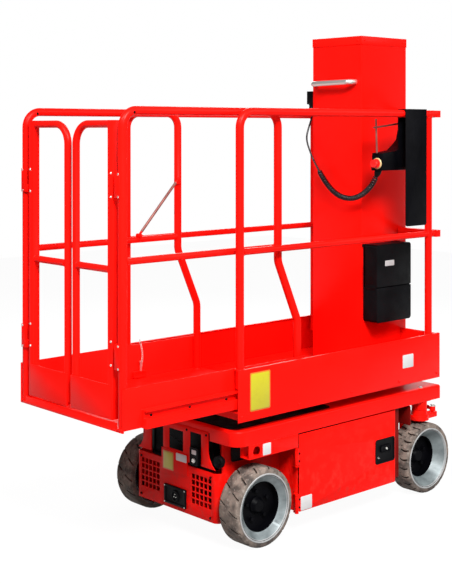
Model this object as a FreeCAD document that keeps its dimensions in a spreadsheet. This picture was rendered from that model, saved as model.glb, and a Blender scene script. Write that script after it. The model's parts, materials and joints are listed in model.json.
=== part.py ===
import FreeCAD, Part

import math
import os
import re

from FreeCAD import Rotation, Vector

# A small self-propelled vertical-mast lift for order picking, in millimetres.
# +X points to the mast end, -X to the gates, +Z up.  The origin is on the floor under the middle of
# the machine, with the roll-out deck pulled out.

DIMENSIONS = [
    # alias, value, meaning
    ("half_length", 908, "half the length with the deck rolled out"),
    ("half_width", 372, "half the width over the tyres"),
    ("wheel_dia", 305, "tyre diameter"),
    ("tyre_width", 102, "tyre width"),
    ("rim_radius", 130, "outer radius of the wheel disc"),
    ("drive_axle_x", -253, "axle of the driven wheels"),
    ("steer_axle_x", 755.5, "axle of the steered wheels"),
    ("kingpin_radius", 15, "kingpin radius"),
    ("steer_arm", 95, "steering arm, kingpin to tie rod"),
    ("chassis_half", 356, "half width of the chassis over its beams"),
    ("chassis_front", -387, "front of the chassis"),
    ("chassis_rear", 866, "rear of the chassis"),
    ("chassis_floor", 88, "underside of the chassis"),
    ("chassis_top", 460, "top of the chassis beams"),
    ("beam_low", 400, "underside of the chassis beams"),
    ("band_low", 345, "underside of the side bands over the wheels"),
    ("nose_half", 250, "half width of the nose between the driven wheels"),
    ("spine_half", 145, "half width of the frame between the steered wheels"),
    ("nose_top", 280, "top of the grille panel"),
    ("nose_return", 75, "how far the grille panel turns back along its sides"),
    ("nose_corner", 24, "radius of its upright corners"),
    ("cowl_low", 295, "underside of the cowl over the grille panel"),
    ("cowl_top", 433, "top of the cowl, in front of the tray"),
    ("cowl_half", 198, "half width of the cowl above its flared foot"),
    ("tray_corner", 50, "radius of the upright corners of the top tray"),
    ("plate", 6, "chassis plate thickness"),
    ("hinge_y", 354, "hinge line of the side doors"),
    ("door_front", -52, "hinged edge of the side doors"),
    ("door_rear", 545, "free edge of the side doors"),
    ("deck_half", 368, "half width of the platform"),
    ("deck_front", -390, "front of the platform"),
    ("deck_rear", 842, "rear of the platform"),
    ("deck_low", 499, "underside of the platform"),
    ("deck_floor", 538, "top of the platform floor"),
    ("toe_top", 697, "top of the toe boards"),
    ("rail_top", 1690, "top of the guard rails"),
    ("rail_mid", 1141, "centre of the mid rails"),
    ("tube_radius", 16, "guard rail tube radius"),
    ("mid_radius", 13, "mid rail tube radius"),
    ("deck_rail_y", 349, "centre of the platform side rails"),
    ("deck_post_front", -364, "front posts of the platform rails"),
    ("deck_post_rear", 783, "rear posts of the platform rails"),
    ("roll_half", 326, "half width of the roll-out deck"),
    ("roll_floor", 549, "underside of the roll-out deck"),
    ("roll_rear", 18, "rear end of the roll-out deck"),
    ("roll_rail_y", 307, "centre of the roll-out deck rails"),
    ("roll_post_x", -888, "front posts of the roll-out deck"),
    ("roll_leg_x", -119, "upper part of the rear legs of its rails"),
    ("roll_foot_x", -9, "feet of those rear legs"),
    ("gate_low", 580, "bottom of the gates"),
    ("gate_top", 1640, "top of the gates"),
    ("gate_radius", 14, "gate tube radius"),
    ("gate_outer_y", 252, "hinged tube of a gate"),
    ("gate_inner_y", 26, "meeting tube of a gate"),
    ("gate_pin_y", 279, "gate hinge axis"),
    ("gate_mid", 1108, "centre of the gates' mid rails"),
    ("mast_front", 564, "front face of the moving mast box"),
    ("mast_rear", 876, "rear face of the moving mast box"),
    ("mast_half", 148, "half width of the moving mast box"),
    ("mast_top", 2022, "top of the mast"),
    ("mast_low", 482, "bottom of the moving mast box"),
    ("mast_wall", 6, "wall of the mast sections"),
    ("mast_gap", 10, "gap between mast sections"),
]

doc = FreeCAD.newDocument("MastLift")
sheet = doc.addObject("Spreadsheet::Sheet", "Dims")
for row, (alias, value, meaning) in enumerate(DIMENSIONS, start=1):
    sheet.set(f"A{row}", meaning)
    sheet.set(f"B{row}", str(value))
    sheet.setAlias(f"B{row}", alias)
doc.recompute()
NAMES = {alias for alias, _, _ in DIMENSIONS}
PARTS = []


def bound(expression):
    """Name the sheet in front of each of its aliases in an expression."""
    def sheet_name(word):
        """Name the sheet in front of one word when it is an alias."""
        return f"Dims.{word.group()}" if word.group() in NAMES else word.group()

    return re.sub(r"[a-z_]+", sheet_name, str(expression))


def size_of(alias):
    """Read a driving dimension as a number."""
    return float(sheet.get(alias))


def part(label, solid):
    """Mark a finished object as the sub-part with this name."""
    solid.Label = label
    PARTS.append(solid)
    return solid


def box(x, y, z):
    """A block from three (low, high) pairs of expressions."""
    block = doc.addObject("Part::Box", "Block")
    for axis, size, (low, high) in zip("xyz", ("Length", "Width", "Height"), (x, y, z)):
        block.setExpression(size, bound(f"({high}) - ({low})"))
        block.setExpression(f"Placement.Base.{axis}", bound(low))
    return block


TURNS = {
    "x": Rotation(Vector(0, 1, 0), 90),
    "y": Rotation(Vector(1, 0, 0), -90),
    "z": Rotation(),
}


def rod(axis, radius, start, end, across):
    """A round bar along an axis; across holds its other two coordinates in X, Y, Z order."""
    bar = doc.addObject("Part::Cylinder", "Rod")
    bar.Placement = FreeCAD.Placement(Vector(), TURNS[axis])
    bar.setExpression("Radius", bound(radius))
    bar.setExpression("Height", bound(f"({end}) - ({start})"))
    places = dict(zip([name for name in "xyz" if name != axis], across))
    places[axis] = start
    for name, place in places.items():
        bar.setExpression(f"Placement.Base.{name}", bound(place))
    return bar


def fuse(*solids):
    """Weld several objects into one."""
    whole = doc.addObject("Part::MultiFuse", "Weld")
    whole.Shapes = list(solids)
    whole.Refine = True
    return whole


def cut(base, *tools):
    """Take tools away from a base."""
    rest = doc.addObject("Part::Cut", "Cut")
    rest.Base = base
    rest.Tool = tools[0] if len(tools) == 1 else fuse(*tools)
    return rest


def group(*solids):
    """Hold solids that don't touch in one object."""
    held = doc.addObject("Part::Compound", "Group")
    held.Links = list(solids)
    return held


def rounded_block(x, y, z, radius):
    """A block whose four upright edges have this radius."""
    near, far = (f"({edge}) {step} {radius}" for edge, step in zip(y, "+-"))
    front, rear = (f"({edge}) {step} {radius}" for edge, step in zip(x, "+-"))
    posts = [rod("z", radius, *z, (place, side)) for place in (front, rear) for side in (near, far)]
    return fuse(box((front, rear), y, z), box(x, (near, far), z), *posts)


def soften(solid, radius, chosen):
    """Round the edges whose middle passes the test."""
    doc.recompute()
    rounding = doc.addObject("Part::Fillet", "Rounded")
    rounding.Base = solid
    rounding.Edges = [(number, radius, radius) for number, edge in enumerate(solid.Shape.Edges, start=1)
                      if chosen(edge)]
    return rounding


def feature(shape):
    """Hold a shape made with Part's own functions."""
    held = doc.addObject("Part::Feature", "Shape")
    held.Shape = shape
    return held


def rounded_path(points, bends):
    """A wire of straight runs joined by tangent arcs; bends holds a radius for each inner point."""
    edges = []
    start = points[0]
    for before, corner, after, radius in zip(points, points[1:], points[2:], bends):
        back = (before - corner).normalize()
        ahead = (after - corner).normalize()
        half_turn = (math.pi - back.getAngle(ahead)) / 2
        reach = radius * math.tan(half_turn)
        first = corner + back * reach
        last = corner + ahead * reach
        middle = corner + (back + ahead).normalize() * (radius / math.cos(half_turn) - radius)
        edges.append(Part.LineSegment(start, first).toShape())
        edges.append(Part.Arc(first, middle, last).toShape())
        start = last
    edges.append(Part.LineSegment(start, points[-1]).toShape())
    return Part.Wire(edges)


def bent_tube(points, radius, bends):
    """A round bar that follows a bent path."""
    path = rounded_path(points, bends)
    ring = Part.Wire([Part.makeCircle(radius, points[0], points[1] - points[0])])
    return feature(path.makePipeShell([ring], True, True))


def mirrored(solid):
    """The same piece on the other side of the centre line."""
    other = doc.addObject("Part::Mirroring", "Mirror")
    other.Source = solid
    other.Normal = Vector(0, 1, 0)
    return other


def pair(label, near):
    """Mark a piece on the near side, at -Y, and its mirror image on the far side."""
    part(f"{label}_near", near)
    part(f"{label}_far", mirrored(near))


def span(sign, inner, outer):
    """A (low, high) pair in Y between two distances from the centre line, on one side."""
    return (f"-({outer})", f"-({inner})") if sign < 0 else (inner, outer)


def inset(pair_of_ends, amount):
    """Move both ends of a (low, high) pair inwards."""
    return tuple(f"({end}) {step} {amount}" for end, step in zip(pair_of_ends, "+-"))


# ---------------------------------------------------------------- chassis

WALL_TOP = "chassis_top - plate"
PIN_Y = "half_width - tyre_width / 2"


def tray_outline(inside, low, high):
    """A block in the tray's outline, or so far inside it: round front corners, square rear ones."""
    ends = (f"chassis_front + {inside}", f"chassis_rear - {inside}")
    width = (f"-chassis_half + {inside}", f"chassis_half - {inside}")
    return fuse(rounded_block(ends, width, (low, high), f"(tray_corner - {inside})"),
                box(("chassis_rear - 2 * tray_corner", ends[1]), width, (low, high)))


def chassis_tray():
    """The top tray: a folded sheet, open below, notched for the cowl."""
    top = size_of("chassis_top")
    rear = size_of("chassis_rear")

    def on_top_or_rear_corner(edge):
        """Tell whether an edge lies on the top or runs up a rear corner."""
        limits = edge.BoundBox
        return limits.ZMin > top - 1 or (limits.XMin > rear - 1 and limits.ZLength > 30)

    block = soften(tray_outline("0", "beam_low", "chassis_top"), 10, on_top_or_rear_corner)
    hollow = tray_outline("plate", "beam_low - 1", WALL_TOP)
    mast_hole = box(("mast_front + 31", "mast_rear - 31"), ("-mast_half + 31", "mast_half - 31"),
                    ("beam_low - 1", "chassis_top + 1"))
    cowl_notch = box(("chassis_front - 1", "chassis_front + plate + 1"), ("-cowl_half - 4", "cowl_half + 4"),
                     ("beam_low - 1", "cowl_top - 3"))
    return cut(block, hollow, mast_hole, cowl_notch)


def tie_down_channels():
    """The channel under the tray over each front wheel, with a round tie-down hole in its outer side."""
    pieces = []
    for sign in (-1, 1):
        channel = box(("chassis_front + 65", "door_front"), span(sign, "chassis_half - 50", "chassis_half"),
                      ("band_low", "beam_low"))
        inside = box(("chassis_front + 60", "door_front + 1"),
                     span(sign, "chassis_half - 46", "chassis_half - 4"), ("band_low + 4", "beam_low - 4"))
        tie_down = rod("y", 19, *span(sign, "chassis_half - 10", "chassis_half + 5"),
                       ("chassis_front + 106", "(band_low + beam_low) / 2"))
        pieces.append(cut(channel, inside, tie_down))
    return group(*pieces)


HINGE_LEVELS = ((92, 152), (276, 334))
BULKHEAD = "door_rear + 6"


def chassis_frame():
    """The plate frame under the tray: nose walls, bulkheads, floors, spine, kingpin bosses and hinge pins."""
    y_wide = ("-chassis_half + 9", "chassis_half - 9")
    floor_z = ("chassis_floor", "chassis_floor + plate")
    spine_y = ("-spine_half", "spine_half")
    pieces = [
        box(("door_front", "door_front + plate"), y_wide, ("chassis_floor", WALL_TOP)),
        box((BULKHEAD, f"{BULKHEAD} + plate"), y_wide, ("chassis_floor", WALL_TOP)),
        box(("door_front", f"{BULKHEAD} + plate"), y_wide, floor_z),
        box(("chassis_front + 28", "door_front"), ("-nose_half + 5", "nose_half - 5"), floor_z),
        box((BULKHEAD, "door_rear + 90"), spine_y, floor_z),
        box((BULKHEAD, "chassis_rear - plate"), spine_y, ("band_low + 25", "band_low + 33")),
    ]
    for sign in (-1, 1):
        kingpin = ("steer_axle_x", f"{sign} * ({PIN_Y})")
        spine_wall = span(sign, "spine_half - plate", "spine_half")
        boss = rod("z", 34, "band_low + 18", "beam_low", kingpin)
        carrier = box(("steer_axle_x - 45", "steer_axle_x + 45"),
                      span(sign, "spine_half - plate", "chassis_half - plate"),
                      ("beam_low - 3", "beam_low + 12"))
        bore = rod("z", "kingpin_radius + 0.1", "band_low", "beam_low - 5", kingpin)
        pieces += [
            box(("chassis_front + 28", "door_front"), span(sign, "nose_half - 11", "nose_half - 5"),
                ("chassis_floor", WALL_TOP)),
            box((BULKHEAD, "chassis_rear - plate"), spine_wall, ("band_low + 25", WALL_TOP)),
            box((BULKHEAD, "door_rear + 90"), spine_wall, ("chassis_floor", "band_low + 25")),
            cut(fuse(boss, carrier), bore),
        ]
        for low, high in HINGE_LEVELS:
            pin = ("door_front - 8", f"{sign} * hinge_y")
            pieces.append(rod("z", 4, low - 8, high + 8, pin))
            for ear in (low - 8, high + 2):
                pieces.append(rod("z", 8, ear, ear + 6, pin))
                pieces.append(box(("door_front - 8", "door_front + 2"),
                                  span(sign, "hinge_y - 20", "hinge_y"), (ear, ear + 6)))
    return fuse(*pieces)


GRILLE_MIDDLE = 158
GRILLE_PITCH = 24.5
GRILLE_HOLE = 18
GRILLE_LOW = 138
NOSE_TAB_Y = (-78, 84)


def nose_panel():
    """The grille panel: a sheet bent round both front corners, with a tab, a lip and two fields of holes."""
    thick = 3
    shoulder = 50
    face = ("chassis_front - 3", "chassis_front + 3")
    back = "chassis_front + nose_return"
    shell = cut(
        rounded_block(("chassis_front - 3", f"{back} + nose_corner"), ("-nose_half", "nose_half"),
                      ("chassis_floor", "nose_top"), "nose_corner"),
        rounded_block((f"chassis_front - 3 + {thick}", f"{back} + nose_corner"),
                      (f"-nose_half + {thick}", f"nose_half - {thick}"),
                      ("chassis_floor - 1", "nose_top + 1"), f"(nose_corner - {thick})"),
        box((back, f"{back} + nose_corner + 1"), ("-nose_half - 1", "nose_half + 1"),
            ("chassis_floor - 1", "nose_top + 1")),
    )
    corner = cut(
        box((f"{back} - {shoulder}", f"{back} + 1"), ("-nose_half - 1", "nose_half + 1"),
            (f"nose_top - {shoulder}", "nose_top + 1")),
        rod("y", shoulder, "-nose_half - 2", "nose_half + 2",
            (f"{back} - {shoulder}", f"nose_top - {shoulder}")),
    )
    holes = []
    for middle in (-GRILLE_MIDDLE, GRILLE_MIDDLE):
        for column in range(-2, 3):
            for line in range(5):
                y_low = middle + column * GRILLE_PITCH - GRILLE_HOLE / 2
                z_low = GRILLE_LOW + line * GRILLE_PITCH
                holes.append(box(("chassis_front - 10", "chassis_front + 10"),
                                 (y_low, y_low + GRILLE_HOLE), (z_low, z_low + GRILLE_HOLE)))
    tab = box(("chassis_front - 6", "chassis_front - 3"), NOSE_TAB_Y, ("nose_top - 44", "cowl_low + 28"))
    lip = box(("chassis_front - 1", "chassis_front + 28"),
              ("-nose_half + nose_corner", "nose_half - nose_corner"),
              ("chassis_floor", f"chassis_floor + {thick}"))
    return fuse(cut(shell, corner, *holes), tab, lip)


COWL_THICKNESS = 3
NEAR_WINDOW_Y = (-156, -90)
MIDDLE_WINDOW_Y = (-47, 39)
FAR_WINDOW_Y = (77, 152)


def cowl_panel():
    """The plate above the grille: a flared foot each side, a window and two slots open at the bottom."""
    foot = size_of("cowl_low")
    half = size_of("cowl_half")
    edge = [(half, size_of("cowl_top")), (half, foot + 63), (half + 7, foot + 38), (half + 22, foot + 14),
            (half + 41, foot - 2), (half - 22, foot - 2)]
    edge += [(-y, z) for y, z in reversed(edge)]
    corners = [Vector(size_of("chassis_front") - COWL_THICKNESS, y, z) for y, z in edge]
    face = Part.Face(Part.makePolygon(corners + corners[:1]))
    plate = feature(face.extrude(Vector(COWL_THICKNESS, 0, 0)))
    slot = ("nose_top", "cowl_top - 16")
    window = ("cowl_low + 33", "cowl_top - 25")
    openings = ((NEAR_WINDOW_Y, slot), (MIDDLE_WINDOW_Y, window), (FAR_WINDOW_Y, slot))
    return cut(plate, *[box(("chassis_front - 10", "chassis_front + 10"), y, z) for y, z in openings])


def rear_cover():
    """The plate that closes the rear of the chassis tray."""
    return box(("chassis_rear", "chassis_rear + 4"), ("-spine_half", "spine_half"),
               ("band_low + 25", "beam_low + 40"))


INLET_Y = (-70, 62)
INLET_Z = (106, 181)


def charger_inlet():
    """The charging inlet low in the nose."""
    body = box(("chassis_front - 12", "chassis_front - 3"), INLET_Y, INLET_Z)
    well = box(("chassis_front - 13", "chassis_front - 7"), inset(INLET_Y, 10), inset(INLET_Z, 9))
    return cut(body, well)


def side_door():
    """The near side door, with a square latch well and two hinge barrels."""
    skin_y = ("-chassis_half", "-chassis_half + 4")
    well_x = ("door_rear - 127", "door_rear - 6")
    well_z = (187, 285)
    skin = box(("door_front + 5", "door_rear - 1"), skin_y, ("chassis_floor", "beam_low - 5"))
    well = box(well_x, ("-chassis_half - 5", "-chassis_half + 12"), well_z)
    cup = box(("door_rear - 131", "door_rear - 2"), ("-chassis_half + 4", "-chassis_half + 17"),
              (well_z[0] - 4, well_z[1] + 4))
    cup_inside = box(well_x, ("-chassis_half + 3", "-chassis_half + 13"), well_z)
    pieces = [cut(skin, well), cut(cup, cup_inside)]
    for low, high in HINGE_LEVELS:
        barrel = cut(rod("z", 8, low, high, ("door_front - 8", "-hinge_y")),
                     rod("z", 4.2, low - 1, high + 1, ("door_front - 8", "-hinge_y")))
        leaf = box(("door_front - 1", "door_front + 20"), skin_y, (low, high))
        pieces += [barrel, leaf]
    return fuse(*pieces)


part("chassis_tray", chassis_tray())
part("tie_down_channels", tie_down_channels())
part("chassis_frame", chassis_frame())
part("nose_panel", nose_panel())
part("cowl_panel", cowl_panel())
part("rear_cover", rear_cover())
part("charger_inlet", charger_inlet())
pair("door", side_door())
part("battery_pack", group(*[
    box(("door_front + 60", "door_rear - 140"), span(sign, 40, "chassis_half - 40"),
        ("chassis_floor + plate", "chassis_floor + 236")) for sign in (-1, 1)
]))


# ---------------------------------------------------------------- wheels

WHEEL_Y = size_of("half_width")
AXLE_Z = size_of("wheel_dia") / 2


def turned(profile, x):
    """Revolve a profile of (radius, depth from the outer face) about a near-side axle along Y."""
    corners = [Vector(radius, 0, -depth) for radius, depth in profile]
    face = Part.Face(Part.makePolygon(corners + corners[:1]))
    solid = face.revolve(Vector(), Vector(0, 0, 1), 360)
    solid.rotate(Vector(), Vector(1, 0, 0), 90)
    solid.translate(Vector(x, -WHEEL_Y, AXLE_Z))
    return feature(solid)


def tyre(x):
    """A solid tyre with rounded shoulders."""
    outer = size_of("wheel_dia") / 2
    inner = size_of("rim_radius")
    width = size_of("tyre_width")
    profile = [(inner, 0), (outer - 9, 0), (outer - 2, 4), (outer, 11),
               (outer, width - 11), (outer - 2, width - 4), (outer - 9, width), (inner, width)]
    return turned(profile, x)


def rim(x, hub_radius, dish_depth):
    """A dished steel wheel: barrel, cone, hub cup and bored hub."""
    outer = size_of("rim_radius")
    width = size_of("tyre_width")
    floor = dish_depth + 28
    bore = 20.1
    profile = [
        (outer, 0), (outer, width), (outer - 6, width), (outer - 6, dish_depth + 10),
        (hub_radius + 6, dish_depth + 10), (hub_radius + 6, floor + 8), (46, floor + 8), (46, width - 2),
        (bore, width - 2), (bore, floor + 2), (0, floor + 2), (0, floor),
        (hub_radius, floor), (hub_radius, dish_depth), (outer - 8, 3), (outer - 8, 0),
    ]
    return turned(profile, x)


WHEELS = (("drive", "drive_axle_x", 95, 23), ("steer", "steer_axle_x", 88, 46))
for axle, place, hub_radius, dish_depth in WHEELS:
    pair(f"{axle}_tyre", tyre(size_of(place)))
    pair(f"{axle}_rim", rim(size_of(place), hub_radius, dish_depth))

part("drive_motors", group(*[
    fuse(rod("y", 36, *span(sign, "nose_half - 5", "nose_half + 16"), ("drive_axle_x", "wheel_dia / 2")),
         rod("y", 20, *span(sign, "nose_half - 5", "half_width - 56"), ("drive_axle_x", "wheel_dia / 2")))
    for sign in (-1, 1)
]))

ARM_Z = (316, 336)
ARM_X = "steer_axle_x + steer_arm"


def knuckle():
    """The near steering knuckle: kingpin, arm over the tyre, leg inside it and stub axle."""
    inner = "-(half_width - tyre_width - 30)"
    leg_y = "-(half_width - tyre_width - 8)"
    kingpin = ("steer_axle_x", f"-({PIN_Y})")
    head = rod("z", 42, *ARM_Z, kingpin)
    arm = box(("steer_axle_x", ARM_X), (f"-({PIN_Y}) - 20", f"-({PIN_Y}) + 20"), ARM_Z)
    tip = rod("z", 20, *ARM_Z, (ARM_X, f"-({PIN_Y})"))
    bridge = box(("steer_axle_x - 40", "steer_axle_x + 40"), (f"-({PIN_Y})", inner), ARM_Z)
    leg = box(("steer_axle_x - 40", "steer_axle_x + 40"), (leg_y, inner), ("wheel_dia / 2 - 40", ARM_Z[0]))
    pin = rod("z", "kingpin_radius", ARM_Z[1], "beam_low - 8", kingpin)
    collar = rod("z", 34, ARM_Z[1], "band_low + 16", kingpin)
    stub = rod("y", 20, "-(half_width - 78)", leg_y, ("steer_axle_x", "wheel_dia / 2"))
    eye = rod("z", 6.3, ARM_Z[0] - 6, ARM_Z[1] + 4, (ARM_X, f"-({PIN_Y})"))
    return cut(fuse(head, arm, tip, bridge, leg, pin, collar, stub), eye)


pair("knuckle", knuckle())


def tie_rod():
    """The rod that keeps both steering arms parallel, with a pin down into each arm."""
    level = 351
    pieces = [rod("y", 9, f"-({PIN_Y})", PIN_Y, (ARM_X, level))]
    for sign in (-1, 1):
        place = (ARM_X, f"{sign} * ({PIN_Y})")
        pieces += [rod("z", 6, ARM_Z[0] + 2, level, place),
                   rod("z", 13, level - 10, level + 9, place)]
    return fuse(*pieces)


part("tie_rod", tie_rod())


# ---------------------------------------------------------------- mast

MAST_X = ("mast_front", "mast_rear")
MAST_Y = ("-mast_half", "mast_half")


def section(inside, low, high):
    """A square tube of the mast, so far inside the moving outer box."""
    outer = box(inset(MAST_X, inside), inset(MAST_Y, inside), (low, high))
    wall = f"({inside} + mast_wall)"
    bore = box(inset(MAST_X, wall), inset(MAST_Y, wall), (f"({low}) - 1", f"({high}) + 1"))
    return cut(outer, bore)


STEP = size_of("mast_wall") + size_of("mast_gap")
part("mast_base", section(2 * STEP, "band_low + 33", "mast_top - 52"))
part("mast_middle", section(STEP, "chassis_top + 8", "mast_top - 42"))
cap = box(inset(MAST_X, -2), inset(MAST_Y, -2), ("mast_top - 38", "mast_top"))
cap_hollow = box(inset(MAST_X, "mast_wall"), inset(MAST_Y, "mast_wall"), ("mast_top - 39", "mast_top - 8"))
part("mast_box", fuse(section(0, "mast_low", "mast_top - 10"), cut(cap, cap_hollow)))


def grab_bar():
    """The steel grab bar on the front of the mast."""
    front = size_of("mast_front")
    stand = front - 40
    near = (-114, 1817)
    far = (118, 1813)
    points = [Vector(front, *far), Vector(stand, *far), Vector(stand, *near), Vector(front, *near)]
    return bent_tube(points, 12, [22, 22])


part("grab_bar", grab_bar())


CASE_X = ("mast_front + 12", "mast_rear - 64")
CASE_LOW = 750
CASE_TOP = 1095
LID_LOW = 908
LID_PIN = ("-mast_half - 7", CASE_TOP - 7)


def document_box():
    """The open-topped case of the document box, its back plate and the ears of the lid's pin."""
    def at_the_foot(edge):
        """Tell whether an edge runs across the foot of the case."""
        return edge.BoundBox.ZMax < CASE_LOW + 1 and edge.BoundBox.XLength < 1

    outer = soften(box(CASE_X, ("-mast_half - 80", "-mast_half"), (CASE_LOW, CASE_TOP)), 14, at_the_foot)
    inner = box(inset(CASE_X, 3), ("-mast_half - 77", "-mast_half - 3"), (CASE_LOW + 3, CASE_TOP + 5))
    front = box(MAST_X, ("-mast_half - 90", "-mast_half - 3"), (LID_LOW - 5, CASE_TOP + 5))
    pieces = [cut(outer, inner, front)]
    for low, high in (("mast_front + 5", "mast_front + 10"), ("mast_rear - 62", "mast_rear - 57")):
        ear = box((low, high), ("-mast_half - 12", "-mast_half"), (CASE_TOP - 12, CASE_TOP))
        pieces.append(cut(ear, rod("x", 2.8, f"{low} - 1", f"{high} + 1", LID_PIN)))
    pieces.append(box(("mast_front + 5", "mast_rear - 57"), ("-mast_half - 3", "-mast_half"),
                      (CASE_TOP - 12, CASE_TOP)))
    return fuse(*pieces)


def document_lid():
    """Its lid, a shallow hood on a pin along the top of the back plate."""
    def at_the_top(edge):
        """Tell whether an edge runs across the top of the lid."""
        return edge.BoundBox.ZMin > CASE_TOP - 1 and edge.BoundBox.XLength < 1

    outer = soften(box(CASE_X, ("-mast_half - 80", "-mast_half - 10"), (LID_LOW, CASE_TOP)), 14, at_the_top)
    inner = box(inset(CASE_X, 3), ("-mast_half - 77", "-mast_half"), (LID_LOW - 8, CASE_TOP - 3))
    pin = rod("x", 2.5, "mast_front + 6", "mast_rear - 58", LID_PIN)
    webs = [box((low, f"{low} + 5"), ("-mast_half - 12", "-mast_half - 7"), (CASE_TOP - 10, CASE_TOP - 4))
            for low in ("mast_front + 12", "mast_rear - 69")]
    return fuse(cut(outer, inner), pin, *webs)


part("document_box", document_box())
part("document_lid", document_lid())


# ---------------------------------------------------------------- platform

def platform_floor():
    """The floor with its edge frame, open where the mast stands, and the rear toe board."""
    floor = box(("deck_front + 4", "deck_rear"), ("-deck_half + 3", "deck_half - 3"),
                ("deck_floor - 6", "deck_floor"))
    ribs = [
        box((f"deck_front + {place}", f"deck_front + {place} + 40"), ("-deck_half + 3", "deck_half - 3"),
            ("deck_low + 4", "deck_floor - 6")) for place in (20, 420, 880)
    ]
    rear = box(("deck_rear - 4", "deck_rear"), ("-deck_half + 3", "deck_half - 3"),
               ("deck_floor", "toe_top - 3"))
    mast_hole = box(MAST_X, MAST_Y, ("deck_low", "toe_top + 1"))
    return cut(fuse(floor, *ribs, rear), mast_hole)


def platform_side():
    """The near side panel of the platform, with an inward lip along its top."""
    skin = box(("deck_front", "deck_rear"), ("-deck_half", "-deck_half + 3"), ("deck_low", "toe_top"))
    lip = box(("deck_front", "deck_rear"), ("-deck_half + 2", "-deck_half + 12"), ("toe_top - 3", "toe_top"))
    notches = [rod("z", "tube_radius + 0.2", "toe_top - 10", "toe_top + 10", (post, "-deck_rail_y"))
               for post in ("deck_post_front", "deck_post_rear")]
    return fuse(skin, cut(lip, *notches))


def platform_rail():
    """The near side of the platform guard: a bent top tube, posts, mid rail and the rear cross bars."""
    y = -size_of("deck_rail_y")
    low = 625
    top = size_of("rail_top") - size_of("tube_radius")
    front = size_of("deck_post_front")
    rear_end = size_of("deck_rear")
    hoop = bent_tube([Vector(front, y, low), Vector(front, y, top), Vector(rear_end - 20, y, top)],
                     size_of("tube_radius"), [62])
    rear_post = rod("z", "tube_radius", low, "rail_top - tube_radius",
                    ("deck_post_rear", "-deck_rail_y"))
    mid = rod("x", "mid_radius", "deck_post_front", "deck_rear - 20", ("-deck_rail_y", "rail_mid"))
    bars = [
        box(("deck_rear - 22", "deck_rear + 8"), ("-deck_rail_y - tube_radius", "-mast_half"),
            (f"{level} - 15", f"{level} + 15")) for level in ("(rail_top - tube_radius)", "rail_mid")
    ]
    return fuse(hoop, rear_post, mid, *bars)


part("platform_floor", platform_floor())
pair("platform_side", platform_side())
pair("platform_rail", platform_rail())


# ---------------------------------------------------------------- control box and cord

BRACKET_X = ("deck_post_rear - 186", "deck_post_rear - 40")


def control_bracket():
    """The sheet hook that hangs the control box on the near rails."""
    outer_low = 1185
    inner_low = 1440

    def at_the_foot(edge):
        """Tell whether an edge is a lower corner of the outer sheet."""
        return edge.BoundBox.ZMax < outer_low + 1 and edge.BoundBox.YLength > 1

    outer = soften(box(BRACKET_X, ("-deck_half - 4", "-deck_half - 1"), (outer_low, "rail_top + 4")), 12,
                   at_the_foot)
    top = box(BRACKET_X, ("-deck_half - 4", "-deck_half + 41"), ("rail_top + 1", "rail_top + 4"))
    inner = box(BRACKET_X, ("-deck_half + 38", "-deck_half + 41"), (inner_low, "rail_top + 4"))
    return fuse(outer, top, inner)


CONTROL_OUTLINE = ((490, 1428), (690, 1428), (690, 1656), (676, 1656), (668, 1603), (656, 1560), (625, 1536),
                   (592, 1514), (497, 1503))
CONTROL_WIDTH = 60
STOP_PLACE = (-304, 1459)
SOCKET_Z = (1722, 1782)


def control_box():
    """The control box, stepped so that its low front part carries the stop button."""
    corners = [Vector(x, -size_of("deck_half") + 41, z) for x, z in CONTROL_OUTLINE]
    face = Part.Face(Part.makePolygon(corners + corners[:1]))
    return feature(face.extrude(Vector(0, CONTROL_WIDTH, 0)))


def stop_button():
    """The stop button: collar, stem and mushroom head."""
    return fuse(*[rod("x", radius, low, high, STOP_PLACE)
                  for radius, low, high in ((20, 479, 490), (12, 469, 479), (17, 459, 470))])


def cord_socket():
    """The socket high on the far side of the mast, with the cord's plug below it."""
    block = box(("mast_front + 4", "mast_front + 44"), ("mast_half", "mast_half + 42"), SOCKET_Z)
    plug = rod("z", 13, SOCKET_Z[0] - 18, SOCKET_Z[0], ("mast_front + 22", "mast_half + 24"))
    return fuse(block, plug)


part("control_bracket", control_bracket())
part("control_box", control_box())
part("stop_button", stop_button())
part("cord_socket", cord_socket())
TAIL = [Vector(586, 172, 1704), Vector(586, 174, 1660), Vector(572, 186, 1606), Vector(548, 176, 1560),
        Vector(541, 146, 1506), Vector(538, 116, 1458), Vector(535, 84, 1420)]
TAIL_RADIUS = 4
COIL = [Vector(535, 84, 1420), Vector(530, 56, 1388), Vector(526, 14, 1347), Vector(520, -36, 1316),
        Vector(515, -88, 1301), Vector(511, -140, 1299), Vector(509, -190, 1314), Vector(508, -234, 1342),
        Vector(508, -267, 1376), Vector(509, -285, 1412)]
COIL_RADIUS = 13


def cord_tube(points, radius, label):
    """A tube along straight runs joined by the widest tangent arcs that the runs allow."""
    bends = []
    for before, corner, after in zip(points, points[1:], points[2:]):
        turn = math.pi - (before - corner).getAngle(after - corner)
        shorter = min((before - corner).Length, (after - corner).Length)
        bends.append(0.45 * shorter / math.tan(turn / 2))
    print(label, "bend radii", [round(bend) for bend in bends], "least over diameter",
          round(min(bends) / (2 * radius), 1))
    tube = bent_tube(points, radius, bends)
    path = rounded_path(points, bends)
    print(label, "length", round(path.Length, 1), "volume ratio",
          round(tube.Shape.Volume / (math.pi * radius ** 2 * path.Length), 4))
    return tube


def cord_gland():
    """The gland under the control box, cut level with its underside."""
    along = Part.makeCylinder(14, 30, COIL[-1], COIL[-1] - COIL[-2])
    below_the_box = Part.makeBox(60, 70, 60, Vector(480, -325, CONTROL_OUTLINE[0][1] - 60))
    return feature(along.common(below_the_box))


part("cord_tail", cord_tube(TAIL, TAIL_RADIUS, "cord_tail"))
part("cord_coil", cord_tube(COIL, COIL_RADIUS, "cord_coil"))
part("cord_gland", cord_gland())


# ---------------------------------------------------------------- roll-out deck and gates

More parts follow.
